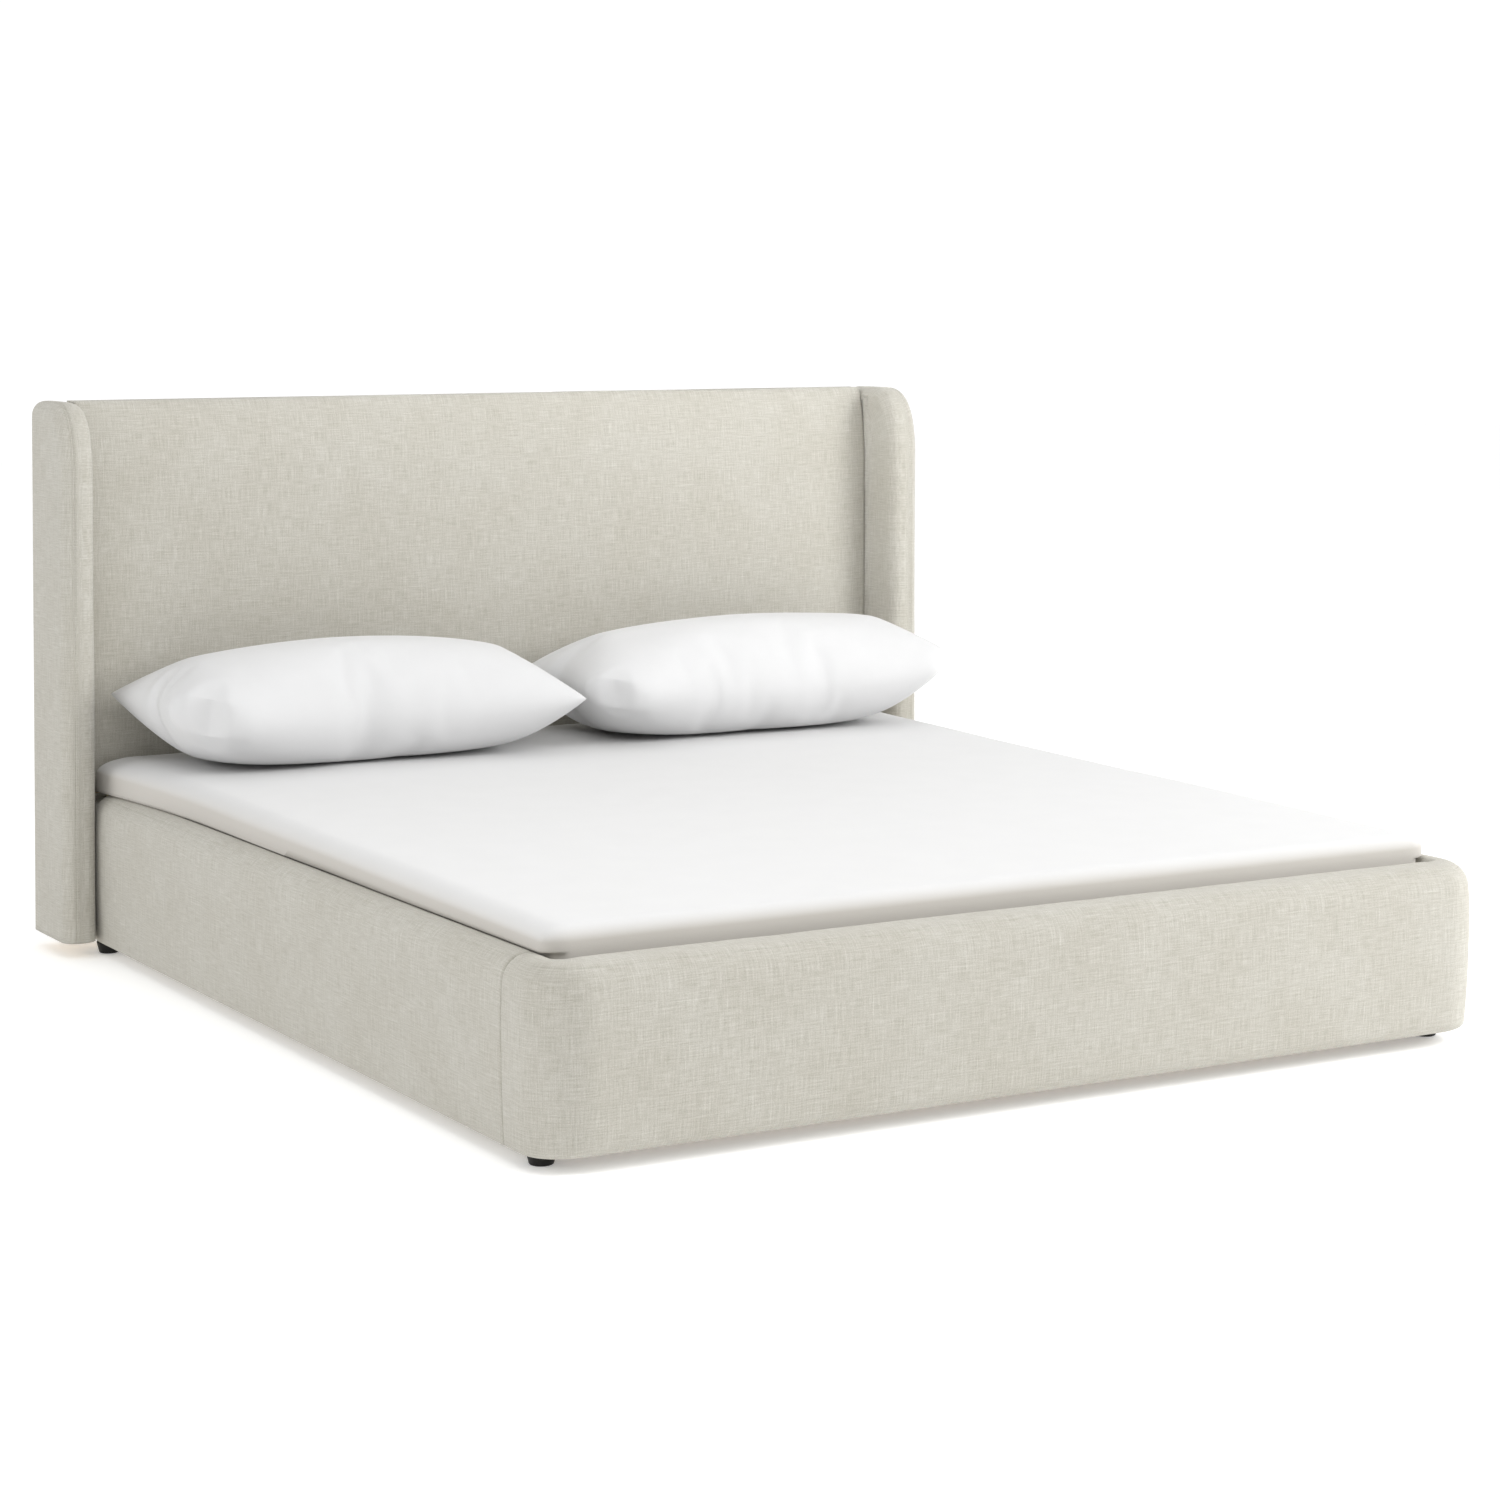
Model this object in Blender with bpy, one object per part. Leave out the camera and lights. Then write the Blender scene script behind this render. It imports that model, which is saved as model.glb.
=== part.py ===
"""Upholstered low bed with a winged headboard, a wrap-round footboard, a slatted base, a mattress and
two pillows.

Metres, +Z up. The origin is on the floor under the middle of the bed. The headboard is towards +Y, the
foot end towards -Y, and "left" is -X. Many depths are given behind the footboard's front face, and
behind_foot() turns them into Y.
"""

import math

import bmesh
import bpy
from mathutils import Matrix, Vector

# Driving dimensions of the whole bed
LENGTH = 2.270
HEAD_HALF_WIDTH = 1.055
RAIL_HALF_WIDTH = 0.980
HEAD_TOP = 1.160
FIT_GAP = 0.0003

# Fabric covers and the space that one takes up on what it covers
COVER_THICKNESS = 0.0015
COVER_SPACE = COVER_THICKNESS + FIT_GAP

# How finely the shapes are modelled
SMOOTH_ANGLE = math.radians(40)
CORNER_STEPS = 14
ROLL_STEPS = 5
WING_CORNER_STEPS = 7
FACE_STEPS = 4
EDGE_STEPS = 4
ROUND_SIDES = 24
STEM_SIDES = 16
HOLE_SIDES = 8
PILLOW_COLUMNS = 14
PILLOW_ROWS = 8

# Edges eased on sawn boards, and how far cutting bodies stand out of what they cut
BOARD_EDGE = 0.002
CUTTER_REACH = 0.020

# Padded surround: two straight side rails and the footboard that wraps both front corners
SURROUND_BOTTOM = 0.0245
SURROUND_TOP = 0.336
RAIL_THICKNESS = 0.070
FOOT_THICKNESS = 0.095
CORNER_RADIUS = 0.100
SEAM_DEPTH = 0.159
RAIL_END_DEPTH = 2.172
INNER_TOP_RADIUS = 0.018
OUTER_TOP_RADIUS = 0.045
RAIL_BOTTOM_RADIUS = 0.010
FOOT_BOTTOM_RADIUS = 0.028
CREST_HEIGHT = 0.240
TOP_TUCK = 0.002
RAIL_BOTTOM_TUCK = 0.005
FOOT_BOTTOM_TUCK = 0.011
UNDERSIDE_SHORT = 0.004
COVER_HEM_HEIGHT = 0.270
BOARD_THICKNESS = 0.022
BOARD_TOP = 0.300

# Headboard panel, from its padded front to the board on its back
PANEL_HALF_WIDTH = RAIL_HALF_WIDTH - FIT_GAP
PANEL_BOTTOM = 0.060
PANEL_FRONT_DEPTH = 2.172
PLY_FRONT_DEPTH = 2.213
PLY_THICKNESS = 0.009
FRAME_DEPTH = 0.0275
FRAME_WIDTH = 0.060
FRAME_TOP = 1.140
MIDDLE_BAR_HEIGHT = 0.600
BASE_RAIL_TOP = 0.330
PANEL_ROLL_HEIGHT = 0.190
PANEL_ROLL_DEPTH = 0.045
PANEL_SIDE_ROLL = 0.010
PANEL_SIDE_ROLL_SHARES = ((0.0, 1.0), (0.020, 0.45), (0.060, 0.1), (0.120, 0.0))
PANEL_FOAM_EASE = 0.0025
BACK_PANEL_THICKNESS = 0.010

# Headboard wings, which stand forward of the panel
WING_INNER_FACE = 0.9833
WING_FRONT_DEPTH = 2.060
WING_BOTTOM = 0.034
WING_CORNER_DEPTH = 0.100
WING_CORNER_HEIGHT = 0.160
WING_EDGE_RADIUS = 0.030
WING_FOAM_THICKNESS = 0.020
WING_CREASE_DEPTH = 2.177
WING_INNER_FOAM = 0.015
WING_PACKER_SETBACK = 0.003
WING_PACKER_OVERLAP = 0.005
WING_OPENING_REACH = 0.006

# Slatted base
SLAT_COUNT = 12
SLAT_WIDTH = 0.090
SLAT_THICKNESS = 0.018
SLAT_HALF_LENGTH = 0.900
SLAT_TOP = 0.200
FIRST_SLAT_DEPTH = 0.215
LAST_SLAT_DEPTH = 2.050
LEDGE_WIDTH = 0.030
LEDGE_HEIGHT = 0.035
LEDGE_SETBACKS = {"foot": 0.006, "head": 0.002}
BEAM_WIDTH = 0.040
BEAM_HEIGHT = 0.060
HANGER_THICKNESS = 0.003
HANGER_LENGTH = 0.045
HANGER_FLANGE = 0.030

# Centre legs with screw-out levellers
LEG_DEPTHS = {"front": 0.740, "rear": 1.500}
LEG_WIDTH = 0.045
LEG_BOTTOM = 0.018
LEVELLER_DISC_RADIUS = 0.022
LEVELLER_DISC_HEIGHT = 0.008
LEVELLER_RIM_HEIGHT = 0.004
LEVELLER_CHAMFER = 0.001
LEVELLER_HUB_RADIUS = 0.010
LEVELLER_STEM_RADIUS = 0.004
LEVELLER_STEM_TOP = 0.050
LEVELLER_BORE_RADIUS = 0.0045
LEVELLER_BORE_TOP = 0.054

# Corner feet
PEG_TOP_RADIUS = 0.026
PEG_BOTTOM_RADIUS = 0.0205
PEG_CHAMFER = 0.001
FRONT_FOOT_PLACE = (0.925, 0.120)
REAR_FOOT_PLACE = (0.945, 2.112)

# Steel corner brackets and the holes for their bolts
BRACKET_THICKNESS = 0.004
BRACKET_BOTTOM = 0.055
BRACKET_TOP = 0.135
FOOT_BRACKET_RAIL_END = 0.300
FOOT_BRACKET_FRONT_END = 0.720
HEAD_BRACKET_RAIL_END = 2.020
HEAD_BRACKET_INNER_END = 0.800
BOLT_HOLE_RADIUS = 0.0044
BOLT_HOLE_LENGTH = 0.023
BOLT_HOLE_LEAD = 0.005
RAIL_BOLT_DEPTHS = (0.215, 0.270, 2.050, 2.100)
FOOT_BOLT_OFFSETS = (0.745, 0.800)
HEAD_BOLT_OFFSETS = (0.825, 0.870)

# Mattress
MATTRESS_HALF_WIDTH = 0.906
MATTRESS_FOOT_DEPTH = 0.108
MATTRESS_HEAD_DEPTH = 2.168
MATTRESS_BOTTOM = SLAT_TOP + FIT_GAP
MATTRESS_TOP_AT_FOOT = 0.388
MATTRESS_TOP_AT_HEAD = 0.412
MATTRESS_PLAN_RADIUS = 0.060
MATTRESS_LEAST_RADIUS = 0.004
MATTRESS_EDGE_RADIUS = 0.045
MATTRESS_HEM_INSET = 0.080

# Pillows
PILLOW_LENGTH = 0.916
PILLOW_DEPTH = 0.440
PILLOW_HEIGHT = 0.250
PILLOW_MIDDLE_DEPTH = 1.915
PILLOW_OFFSETS = {"left": -0.478, "right": 0.468}
PILLOW_SEAM_SHARE = 0.52
PILLOW_SIDE_PULL = 0.030

SIDES = {"left": -1, "right": 1}


def behind_foot(depth):
    """Y of a point that lies depth behind the footboard's front face."""
    return depth - LENGTH / 2


# ---------------------------------------------------------------- materials and mesh helpers


def material(name, colour, roughness, metallic=0.0):
    made = bpy.data.materials.new(name)
    made.use_nodes = True
    shader = made.node_tree.nodes["Principled BSDF"]
    shader.inputs["Base Color"].default_value = (*colour, 1.0)
    shader.inputs["Roughness"].default_value = roughness
    shader.inputs["Metallic"].default_value = metallic
    made.diffuse_color = (*colour, 1.0)
    return made


def object_from(name, mesh_builder, surface, smooth=False):
    """A named object from a filled bmesh, with its faces turned outwards."""
    bmesh.ops.recalc_face_normals(mesh_builder, faces=mesh_builder.faces)
    mesh = bpy.data.meshes.new(name)
    mesh_builder.to_mesh(mesh)
    mesh_builder.free()
    if smooth:
        mesh.shade_smooth()
        mesh.set_sharp_from_angle(angle=SMOOTH_ANGLE)
    mesh.materials.append(surface)
    made = bpy.data.objects.new(name, mesh)
    bpy.context.scene.collection.objects.link(made)
    return made


def loft(name, sections, surface, smooth=True):
    """Rings with equally many points, joined in order and capped at both ends."""
    builder = bmesh.new()
    rings = [[builder.verts.new(point) for point in section] for section in sections]
    for ring, following in zip(rings, rings[1:]):
        for here, after in zip(range(len(ring)), [*range(1, len(ring)), 0]):
            builder.faces.new((ring[here], ring[after], following[after], following[here]))
    builder.faces.new(rings[0])
    builder.faces.new(reversed(rings[-1]))
    return object_from(name, builder, surface, smooth)


def box(name, low, high, surface, edge=0.0):
    """A block between two corners, with its edges eased by a one-step bevel."""
    builder = bmesh.new()
    bmesh.ops.create_cube(builder, size=1.0)
    for vertex in builder.verts:
        for axis in range(3):
            vertex.co[axis] = high[axis] if vertex.co[axis] > 0 else low[axis]
    made = object_from(name, builder, surface)
    if edge:
        bevel = made.modifiers.new("eased_edges", "BEVEL")
        bevel.width = edge
        bevel.segments = 1
    return made


def mirrored_x(low_x, high_x, side):
    """A range of X on the right side, as it is on the given side."""
    return (low_x, high_x) if side > 0 else (-high_x, -low_x)


def turned(builder, profile, matrix, segments):
    """Adds a closed body of revolution to builder. The profile of (radius, height) runs from axis to axis."""
    rings = []
    for radius, height in profile:
        if radius == 0:
            rings.append([builder.verts.new(matrix @ Vector((0, 0, height)))])
            continue
        angles = [2 * math.pi * step / segments for step in range(segments)]
        ring = [Vector((radius * math.cos(a), radius * math.sin(a), height)) for a in angles]
        rings.append([builder.verts.new(matrix @ point) for point in ring])
    for ring, following in zip(rings, rings[1:]):
        for step in range(segments):
            after = (step + 1) % segments
            if len(ring) == 1:
                builder.faces.new((ring[0], following[step], following[after]))
            elif len(following) == 1:
                builder.faces.new((ring[step], ring[after], following[0]))
            else:
                builder.faces.new((ring[step], ring[after], following[after], following[step]))


def arc(centre, radius, start, end, steps):
    """Points of an arc, with angles in degrees."""
    angles = [math.radians(start + (end - start) * step / steps) for step in range(steps + 1)]
    return [(centre[0] + radius * math.cos(a), centre[1] + radius * math.sin(a)) for a in angles]


def inset_line(points, distance):
    """An open line moved to its left by distance, which is inwards for the profiles below."""
    moved = []
    for index, point in enumerate(points):
        here = Vector(point)
        before = Vector(points[index - 1]) if index else None
        after = Vector(points[index + 1]) if index + 1 < len(points) else None
        into = (here - before).normalized() if before else (after - here).normalized()
        out = (after - here).normalized() if after else into
        normal_in = Vector((-into.y, into.x))
        normal_out = Vector((-out.y, out.x))
        mitre = (normal_in + normal_out).normalized()
        moved.append(tuple(here + mitre * distance / mitre.dot(normal_in)))
    return moved


def cut(target, cutter, operation="DIFFERENCE"):
    boolean = target.modifiers.new(cutter.name, "BOOLEAN")
    boolean.operation = operation
    boolean.object = cutter
    boolean.solver = "EXACT"
    cutter.hide_render = True
    cutter.display_type = "WIRE"


# ---------------------------------------------------------------- padded surround


def cover_line(thickness):
    """The cover's outer line as (depth behind the crest, height): up the inner face, over the top,
    down the crowned outer face and under to the board. The foot's lower edge is rounder than a rail's."""
    footness = (thickness - RAIL_THICKNESS) / (FOOT_THICKNESS - RAIL_THICKNESS)
    radius = RAIL_BOTTOM_RADIUS + footness * (FOOT_BOTTOM_RADIUS - RAIL_BOTTOM_RADIUS)
    tuck = RAIL_BOTTOM_TUCK + footness * (FOOT_BOTTOM_TUCK - RAIL_BOTTOM_TUCK)
    face_top = SURROUND_TOP - OUTER_TOP_RADIUS
    face_bottom = SURROUND_BOTTOM + radius
    face = []
    for step in range(FACE_STEPS):
        share = step / FACE_STEPS
        face.append((tuck * share**2, CREST_HEIGHT + (face_bottom - CREST_HEIGHT) * share))
    inner_centre = (thickness - INNER_TOP_RADIUS, SURROUND_TOP - INNER_TOP_RADIUS)
    return [
        (thickness, COVER_HEM_HEIGHT),
        *arc(inner_centre, INNER_TOP_RADIUS, 0, 90, 3),
        *arc((OUTER_TOP_RADIUS + TOP_TUCK, face_top), OUTER_TOP_RADIUS, 90, 180, 4),
        *face,
        *arc((radius + tuck, face_bottom), radius, 180, 270, 3),
        (thickness - UNDERSIDE_SHORT, SURROUND_BOTTOM),
    ]


def cover_section(thickness):
    line = cover_line(thickness)
    return line + inset_line(line, COVER_THICKNESS)[::-1]


def board_section(thickness):
    inner = thickness - COVER_SPACE
    outer = inner - BOARD_THICKNESS
    bottom = SURROUND_BOTTOM + COVER_SPACE
    return [(inner, bottom), (inner, BOARD_TOP), (outer, BOARD_TOP), (outer, bottom)]


def foam_section(thickness):
    """Foam over the board's top and down its outer face."""
    board_outer = thickness - COVER_SPACE - BOARD_THICKNESS - FIT_GAP
    over_board = BOARD_TOP + FIT_GAP
    line = inset_line(cover_line(thickness), COVER_SPACE)[1:-1]
    return [
        (thickness - COVER_SPACE, over_board),
        *line,
        (board_outer, SURROUND_BOTTOM + COVER_SPACE),
        (board_outer, over_board),
    ]


def bracket_section(thickness):
    outer = thickness - COVER_SPACE + FIT_GAP
    inner = outer + BRACKET_THICKNESS
    return [(inner, BRACKET_BOTTOM), (inner, BRACKET_TOP), (outer, BRACKET_TOP), (outer, BRACKET_BOTTOM)]


def corner_stations():
    """The front right corner in plan, as (point on the crest line, inward direction, thickness), from the
    side round to the front."""
    stations = []
    for step in range(CORNER_STEPS + 1):
        share = step / CORNER_STEPS
        angle = math.radians(-90 * share)
        outward = Vector((math.cos(angle), math.sin(angle)))
        centre = Vector((RAIL_HALF_WIDTH - CORNER_RADIUS, behind_foot(CORNER_RADIUS)))
        eased = share * share * (3 - 2 * share)
        thickness = RAIL_THICKNESS + (FOOT_THICKNESS - RAIL_THICKNESS) * eased
        stations.append((centre + outward * CORNER_RADIUS, -outward, thickness))
    return stations


def side_station(depth):
    return Vector((RAIL_HALF_WIDTH, behind_foot(depth))), Vector((-1, 0)), RAIL_THICKNESS


def front_station(offset):
    return Vector((offset, behind_foot(0))), Vector((0, 1)), FOOT_THICKNESS


def mirrored(stations):
    """The same stations on the left side."""
    flip = Vector((-1, 1))
    return [(point * flip, inward * flip, thickness) for point, inward, thickness in stations]


def sweep(name, section_of, stations, surface):
    """Carries a section, which may follow the thickness, along stations in plan."""
    sections = []
    for point, inward, thickness in stations:
        section = section_of(thickness)
        placed = [(*(point + inward * depth), height) for depth, height in section]
        sections.append(placed)
    return loft(name, sections, surface)


def make_surround(fabric, foam, plywood):
    corner = corner_stations()
    right_half = [side_station(SEAM_DEPTH), *corner]
    around = right_half + mirrored(right_half)[::-1]
    boards = [sweep("footboard_core", board_section, around, plywood)]
    sweep("footboard_foam", foam_section, around, foam)
    sweep("footboard_cover", cover_section, around, fabric)
    rail = [side_station(SEAM_DEPTH + FIT_GAP), side_station(RAIL_END_DEPTH)]
    for side, sign in SIDES.items():
        stations = rail if sign > 0 else mirrored(rail)
        boards.append(sweep(f"side_rail_board_{side}", board_section, stations, plywood))
        sweep(f"side_rail_foam_{side}", foam_section, stations, foam)
        sweep(f"side_rail_cover_{side}", cover_section, stations, fabric)
    return boards


# ---------------------------------------------------------------- headboard


def panel_line(side_roll):
    """The headboard panel's outer line as (depth, height): up its padded front, back over the rounded
    top edge and along the top."""
    front = PANEL_FRONT_DEPTH + side_roll
    roll_depth = PANEL_ROLL_DEPTH - side_roll
    roll_start = HEAD_TOP - PANEL_ROLL_HEIGHT
    rolled = []
    for step in range(1, ROLL_STEPS + 1):
        angle = math.radians(90 * step / ROLL_STEPS)
        rolled.append(
            (front + roll_depth * (1 - math.cos(angle)), roll_start + PANEL_ROLL_HEIGHT * math.sin(angle))
        )
    frame_back = PLY_FRONT_DEPTH + PLY_THICKNESS + FRAME_DEPTH
    return [(front, BASE_RAIL_TOP + FIT_GAP), (front, roll_start), *rolled, (frame_back, HEAD_TOP)]


def panel_cover_section(side_roll):
    line = panel_line(side_roll)
    return line + inset_line(line, -COVER_THICKNESS)[::-1]


def panel_foam_section(side_roll):
    line = inset_line(panel_line(side_roll), -COVER_SPACE - PANEL_FOAM_EASE)
    over_frame = FRAME_TOP + FIT_GAP
    board_front = PLY_FRONT_DEPTH - FIT_GAP
    return [*line, (line[-1][0], over_frame), (board_front, over_frame), (board_front, line[0][1])]


def panel_sweep(name, section_of, surface):
    """Carries a section across the headboard. The front rolls back towards both wings."""
    half = PANEL_HALF_WIDTH
    across = [(distance - half, share) for distance, share in PANEL_SIDE_ROLL_SHARES]
    across += [(-place, share) for place, share in reversed(across)]
    sections = []
    for place, share in across:
        line = section_of(PANEL_SIDE_ROLL * share)
        sections.append([(place, behind_foot(depth), height) for depth, height in line])
    return loft(name, sections, surface)


def make_headboard_panel(fabric, foam, plywood, timber):
    half = PANEL_HALF_WIDTH
    ply_back = PLY_FRONT_DEPTH + PLY_THICKNESS
    frame_front = behind_foot(ply_back + FIT_GAP)
    frame_back = behind_foot(ply_back + FRAME_DEPTH)
    for side, sign in SIDES.items():
        low_x, high_x = mirrored_x(half - FRAME_WIDTH, half, sign)
        low = (low_x, frame_front, PANEL_BOTTOM)
        box(f"headboard_stile_{side}", low, (high_x, frame_back, FRAME_TOP), timber)
    bar_half = half - FRAME_WIDTH - FIT_GAP
    bar_bottoms = {"top": FRAME_TOP - FRAME_WIDTH, "middle": MIDDLE_BAR_HEIGHT, "bottom": PANEL_BOTTOM}
    for place, bottom in bar_bottoms.items():
        low = (-bar_half, frame_front, bottom)
        box(f"headboard_crossbar_{place}", low, (bar_half, frame_back, bottom + FRAME_WIDTH), timber)
    base_rail = box(
        "headboard_base_rail",
        (-half, behind_foot(RAIL_END_DEPTH + FIT_GAP), PANEL_BOTTOM),
        (half, behind_foot(PLY_FRONT_DEPTH - FIT_GAP), BASE_RAIL_TOP - FIT_GAP),
        timber,
    )
    box(
        "headboard_board",
        (-half, behind_foot(PLY_FRONT_DEPTH), PANEL_BOTTOM),
        (half, behind_foot(ply_back), FRAME_TOP),
        plywood,
    )
    back_front = behind_foot(ply_back + FRAME_DEPTH + FIT_GAP)
    box(
        "headboard_back_panel",
        (-half, back_front, PANEL_BOTTOM),
        (half, back_front + BACK_PANEL_THICKNESS, HEAD_TOP),
        fabric,
        edge=BOARD_EDGE,
    )
    panel_sweep("headboard_foam", panel_foam_section, foam)
    panel_sweep("headboard_cover", panel_cover_section, fabric)
    return base_rail


def wing_outline(inset, bottom, back_depth):
    """The wing's side outline as (Y, Z): up the front, round the top corner and down the back."""
    corner_depth = WING_CORNER_DEPTH - inset
    corner_height = WING_CORNER_HEIGHT - inset
    centre = (WING_FRONT_DEPTH + WING_CORNER_DEPTH, HEAD_TOP - WING_CORNER_HEIGHT)
    line = [(WING_FRONT_DEPTH + inset, bottom)]
    for step in range(WING_CORNER_STEPS + 1):
        angle = math.radians(90 * step / WING_CORNER_STEPS)
        place = (centre[0] - corner_depth * math.cos(angle), centre[1] + corner_height * math.sin(angle))
        line.append(place)
    line += [(back_depth, HEAD_TOP - inset), (back_depth, bottom)]
    return [(behind_foot(depth), height) for depth, height in line]


def wing_block(name, sign, low_x, high_x, outline, edge, surface):
    """The side outline as a slab, with its front and top edges rounded."""
    low_x, high_x = mirrored_x(low_x, high_x, sign)
    made = loft(name, [[(x, y, z) for y, z in outline] for x in (low_x, high_x)], surface)
    if not edge:
        return made
    builder = bmesh.new()
    builder.from_mesh(made.data)
    bottom = min(z for _, z in outline)
    back = max(y for y, _ in outline)
    rounded = []
    for rim in builder.edges:
        start, end = rim.verts[0].co, rim.verts[1].co
        along_outline = abs(start.x - end.x) < FIT_GAP
        on_bottom = start.z < bottom + FIT_GAP and end.z < bottom + FIT_GAP
        on_back = start.y > back - FIT_GAP and end.y > back - FIT_GAP
        if along_outline and not on_bottom and not on_back:
            rounded.append(rim)
    bmesh.ops.bevel(
        builder,
        geom=rounded,
        offset=edge,
        offset_type="OFFSET",
        segments=3,
        profile=0.5,
        affect="EDGES",
        clamp_overlap=True,
    )
    builder.to_mesh(made.data)
    builder.free()
    return made


def wing_core_parts(name, sign, grow, bottom, back_depth, surface):
    """The wing's panel and, behind the crease, the thicker part that meets the headboard's stile."""
    inset = WING_FOAM_THICKNESS + COVER_SPACE - grow
    outline = wing_outline(inset, bottom, back_depth)
    inner_x = WING_INNER_FACE + COVER_SPACE + WING_INNER_FOAM - grow
    outer_x = HEAD_HALF_WIDTH - inset
    panel = wing_block(name, sign, inner_x, outer_x, outline, 0.0, surface)
    packer_x = inner_x + 2 * grow + WING_PACKER_OVERLAP
    low_x, high_x = mirrored_x(RAIL_HALF_WIDTH - grow, packer_x, sign)
    packer = box(
        f"{name}_packer",
        (low_x, behind_foot(WING_CREASE_DEPTH + WING_PACKER_SETBACK - grow), bottom),
        (high_x, behind_foot(back_depth), FRAME_TOP - FIT_GAP + grow),
        surface,
    )
    cut(panel, packer, "UNION")
    return panel


def make_wing(side, sign, fabric, foam, plywood):
    back = LENGTH - COVER_SPACE
    bottom = WING_BOTTOM + COVER_SPACE
    below = WING_BOTTOM - CUTTER_REACH
    wing_core_parts(f"wing_core_{side}", sign, 0.0, bottom, back, plywood)
    behind = LENGTH + CUTTER_REACH
    core_space = wing_core_parts(f"wing_core_space_{side}", sign, FIT_GAP, below, behind, plywood)

    inner, outer = WING_INNER_FACE + COVER_SPACE, HEAD_HALF_WIDTH - COVER_SPACE
    outline = wing_outline(COVER_SPACE, bottom, back)
    edge = WING_EDGE_RADIUS - COVER_SPACE
    padding = wing_block(f"wing_foam_{side}", sign, inner, outer, outline, edge, foam)
    cut(padding, core_space)

    outline = wing_outline(0.0, WING_BOTTOM, LENGTH)
    cover = wing_block(
        f"wing_cover_{side}", sign, WING_INNER_FACE, HEAD_HALF_WIDTH, outline, WING_EDGE_RADIUS, fabric
    )
    inner, outer = WING_INNER_FACE + COVER_THICKNESS, HEAD_HALF_WIDTH - COVER_THICKNESS
    outline = wing_outline(COVER_THICKNESS, below, LENGTH - COVER_THICKNESS)
    edge = WING_EDGE_RADIUS - COVER_THICKNESS
    cut(cover, wing_block(f"wing_inside_{side}", sign, inner, outer, outline, edge, fabric))
    low_x, high_x = mirrored_x(WING_INNER_FACE - CUTTER_REACH, WING_INNER_FACE + WING_OPENING_REACH, sign)
    opening = box(
        f"wing_opening_{side}",
        (low_x, behind_foot(WING_CREASE_DEPTH), below),
        (high_x, behind_foot(LENGTH - COVER_THICKNESS), FRAME_TOP + FIT_GAP),
        fabric,
    )
    cut(cover, opening)


# ---------------------------------------------------------------- slatted base


def make_slats(timber):
    pitch = (LAST_SLAT_DEPTH - FIRST_SLAT_DEPTH) / (SLAT_COUNT - 1)
    for index in range(SLAT_COUNT):
        middle = behind_foot(FIRST_SLAT_DEPTH + index * pitch)
        low = (-SLAT_HALF_LENGTH, middle - SLAT_WIDTH / 2, SLAT_TOP - SLAT_THICKNESS)
        high = (SLAT_HALF_LENGTH, middle + SLAT_WIDTH / 2, SLAT_TOP)
        box(f"slat_{index + 1:02d}", low, high, timber, edge=BOARD_EDGE)


def make_supports(timber, steel):
    support_top = SLAT_TOP - SLAT_THICKNESS - FIT_GAP
    board_inner = RAIL_HALF_WIDTH - RAIL_THICKNESS + COVER_SPACE
    for side, sign in SIDES.items():
        low_x, high_x = mirrored_x(board_inner - FIT_GAP - LEDGE_WIDTH, board_inner - FIT_GAP, sign)
        low = (low_x, behind_foot(SEAM_DEPTH + LEDGE_SETBACKS["foot"]), support_top - LEDGE_HEIGHT)
        high = (high_x, behind_foot(RAIL_END_DEPTH - LEDGE_SETBACKS["head"]), support_top)
        box(f"slat_ledge_{side}", low, high, timber)
    beam_bottom = support_top - BEAM_HEIGHT
    foot_face = behind_foot(FOOT_THICKNESS - COVER_SPACE + FIT_GAP)
    head_face = behind_foot(RAIL_END_DEPTH)
    beam_clear = HANGER_THICKNESS + FIT_GAP
    box(
        "centre_beam",
        (-BEAM_WIDTH / 2, foot_face + beam_clear, beam_bottom),
        (BEAM_WIDTH / 2, head_face - beam_clear, support_top),
        timber,
    )
    make_hanger("beam_hanger_foot", foot_face, 1, beam_bottom, support_top, steel)
    make_hanger("beam_hanger_head", head_face, -1, beam_bottom, support_top, steel)
    return beam_bottom


def make_hanger(name, face_y, away, beam_bottom, top, steel):
    """A steel stirrup: a back plate on the end board, and a channel that the beam drops into."""
    inner = BEAM_WIDTH / 2 + FIT_GAP
    outer = inner + HANGER_THICKNESS
    seat = beam_bottom - FIT_GAP
    under = seat - HANGER_THICKNESS
    channel = [(-outer, top), (-outer, under), (outer, under), (outer, top)]
    channel += [(inner, top), (inner, seat), (-inner, seat), (-inner, top)]
    near, far = face_y, face_y + away * (HANGER_THICKNESS + HANGER_LENGTH)
    made = loft(name, [[(x, y, z) for x, z in channel] for y in (near, far)], steel, smooth=False)
    half = outer + HANGER_FLANGE
    plate_ys = sorted((face_y, face_y + away * HANGER_THICKNESS))
    plate = box(f"{name}_plate", (-half, plate_ys[0], under), (half, plate_ys[1], top), steel)
    cut(made, plate, "UNION")


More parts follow.
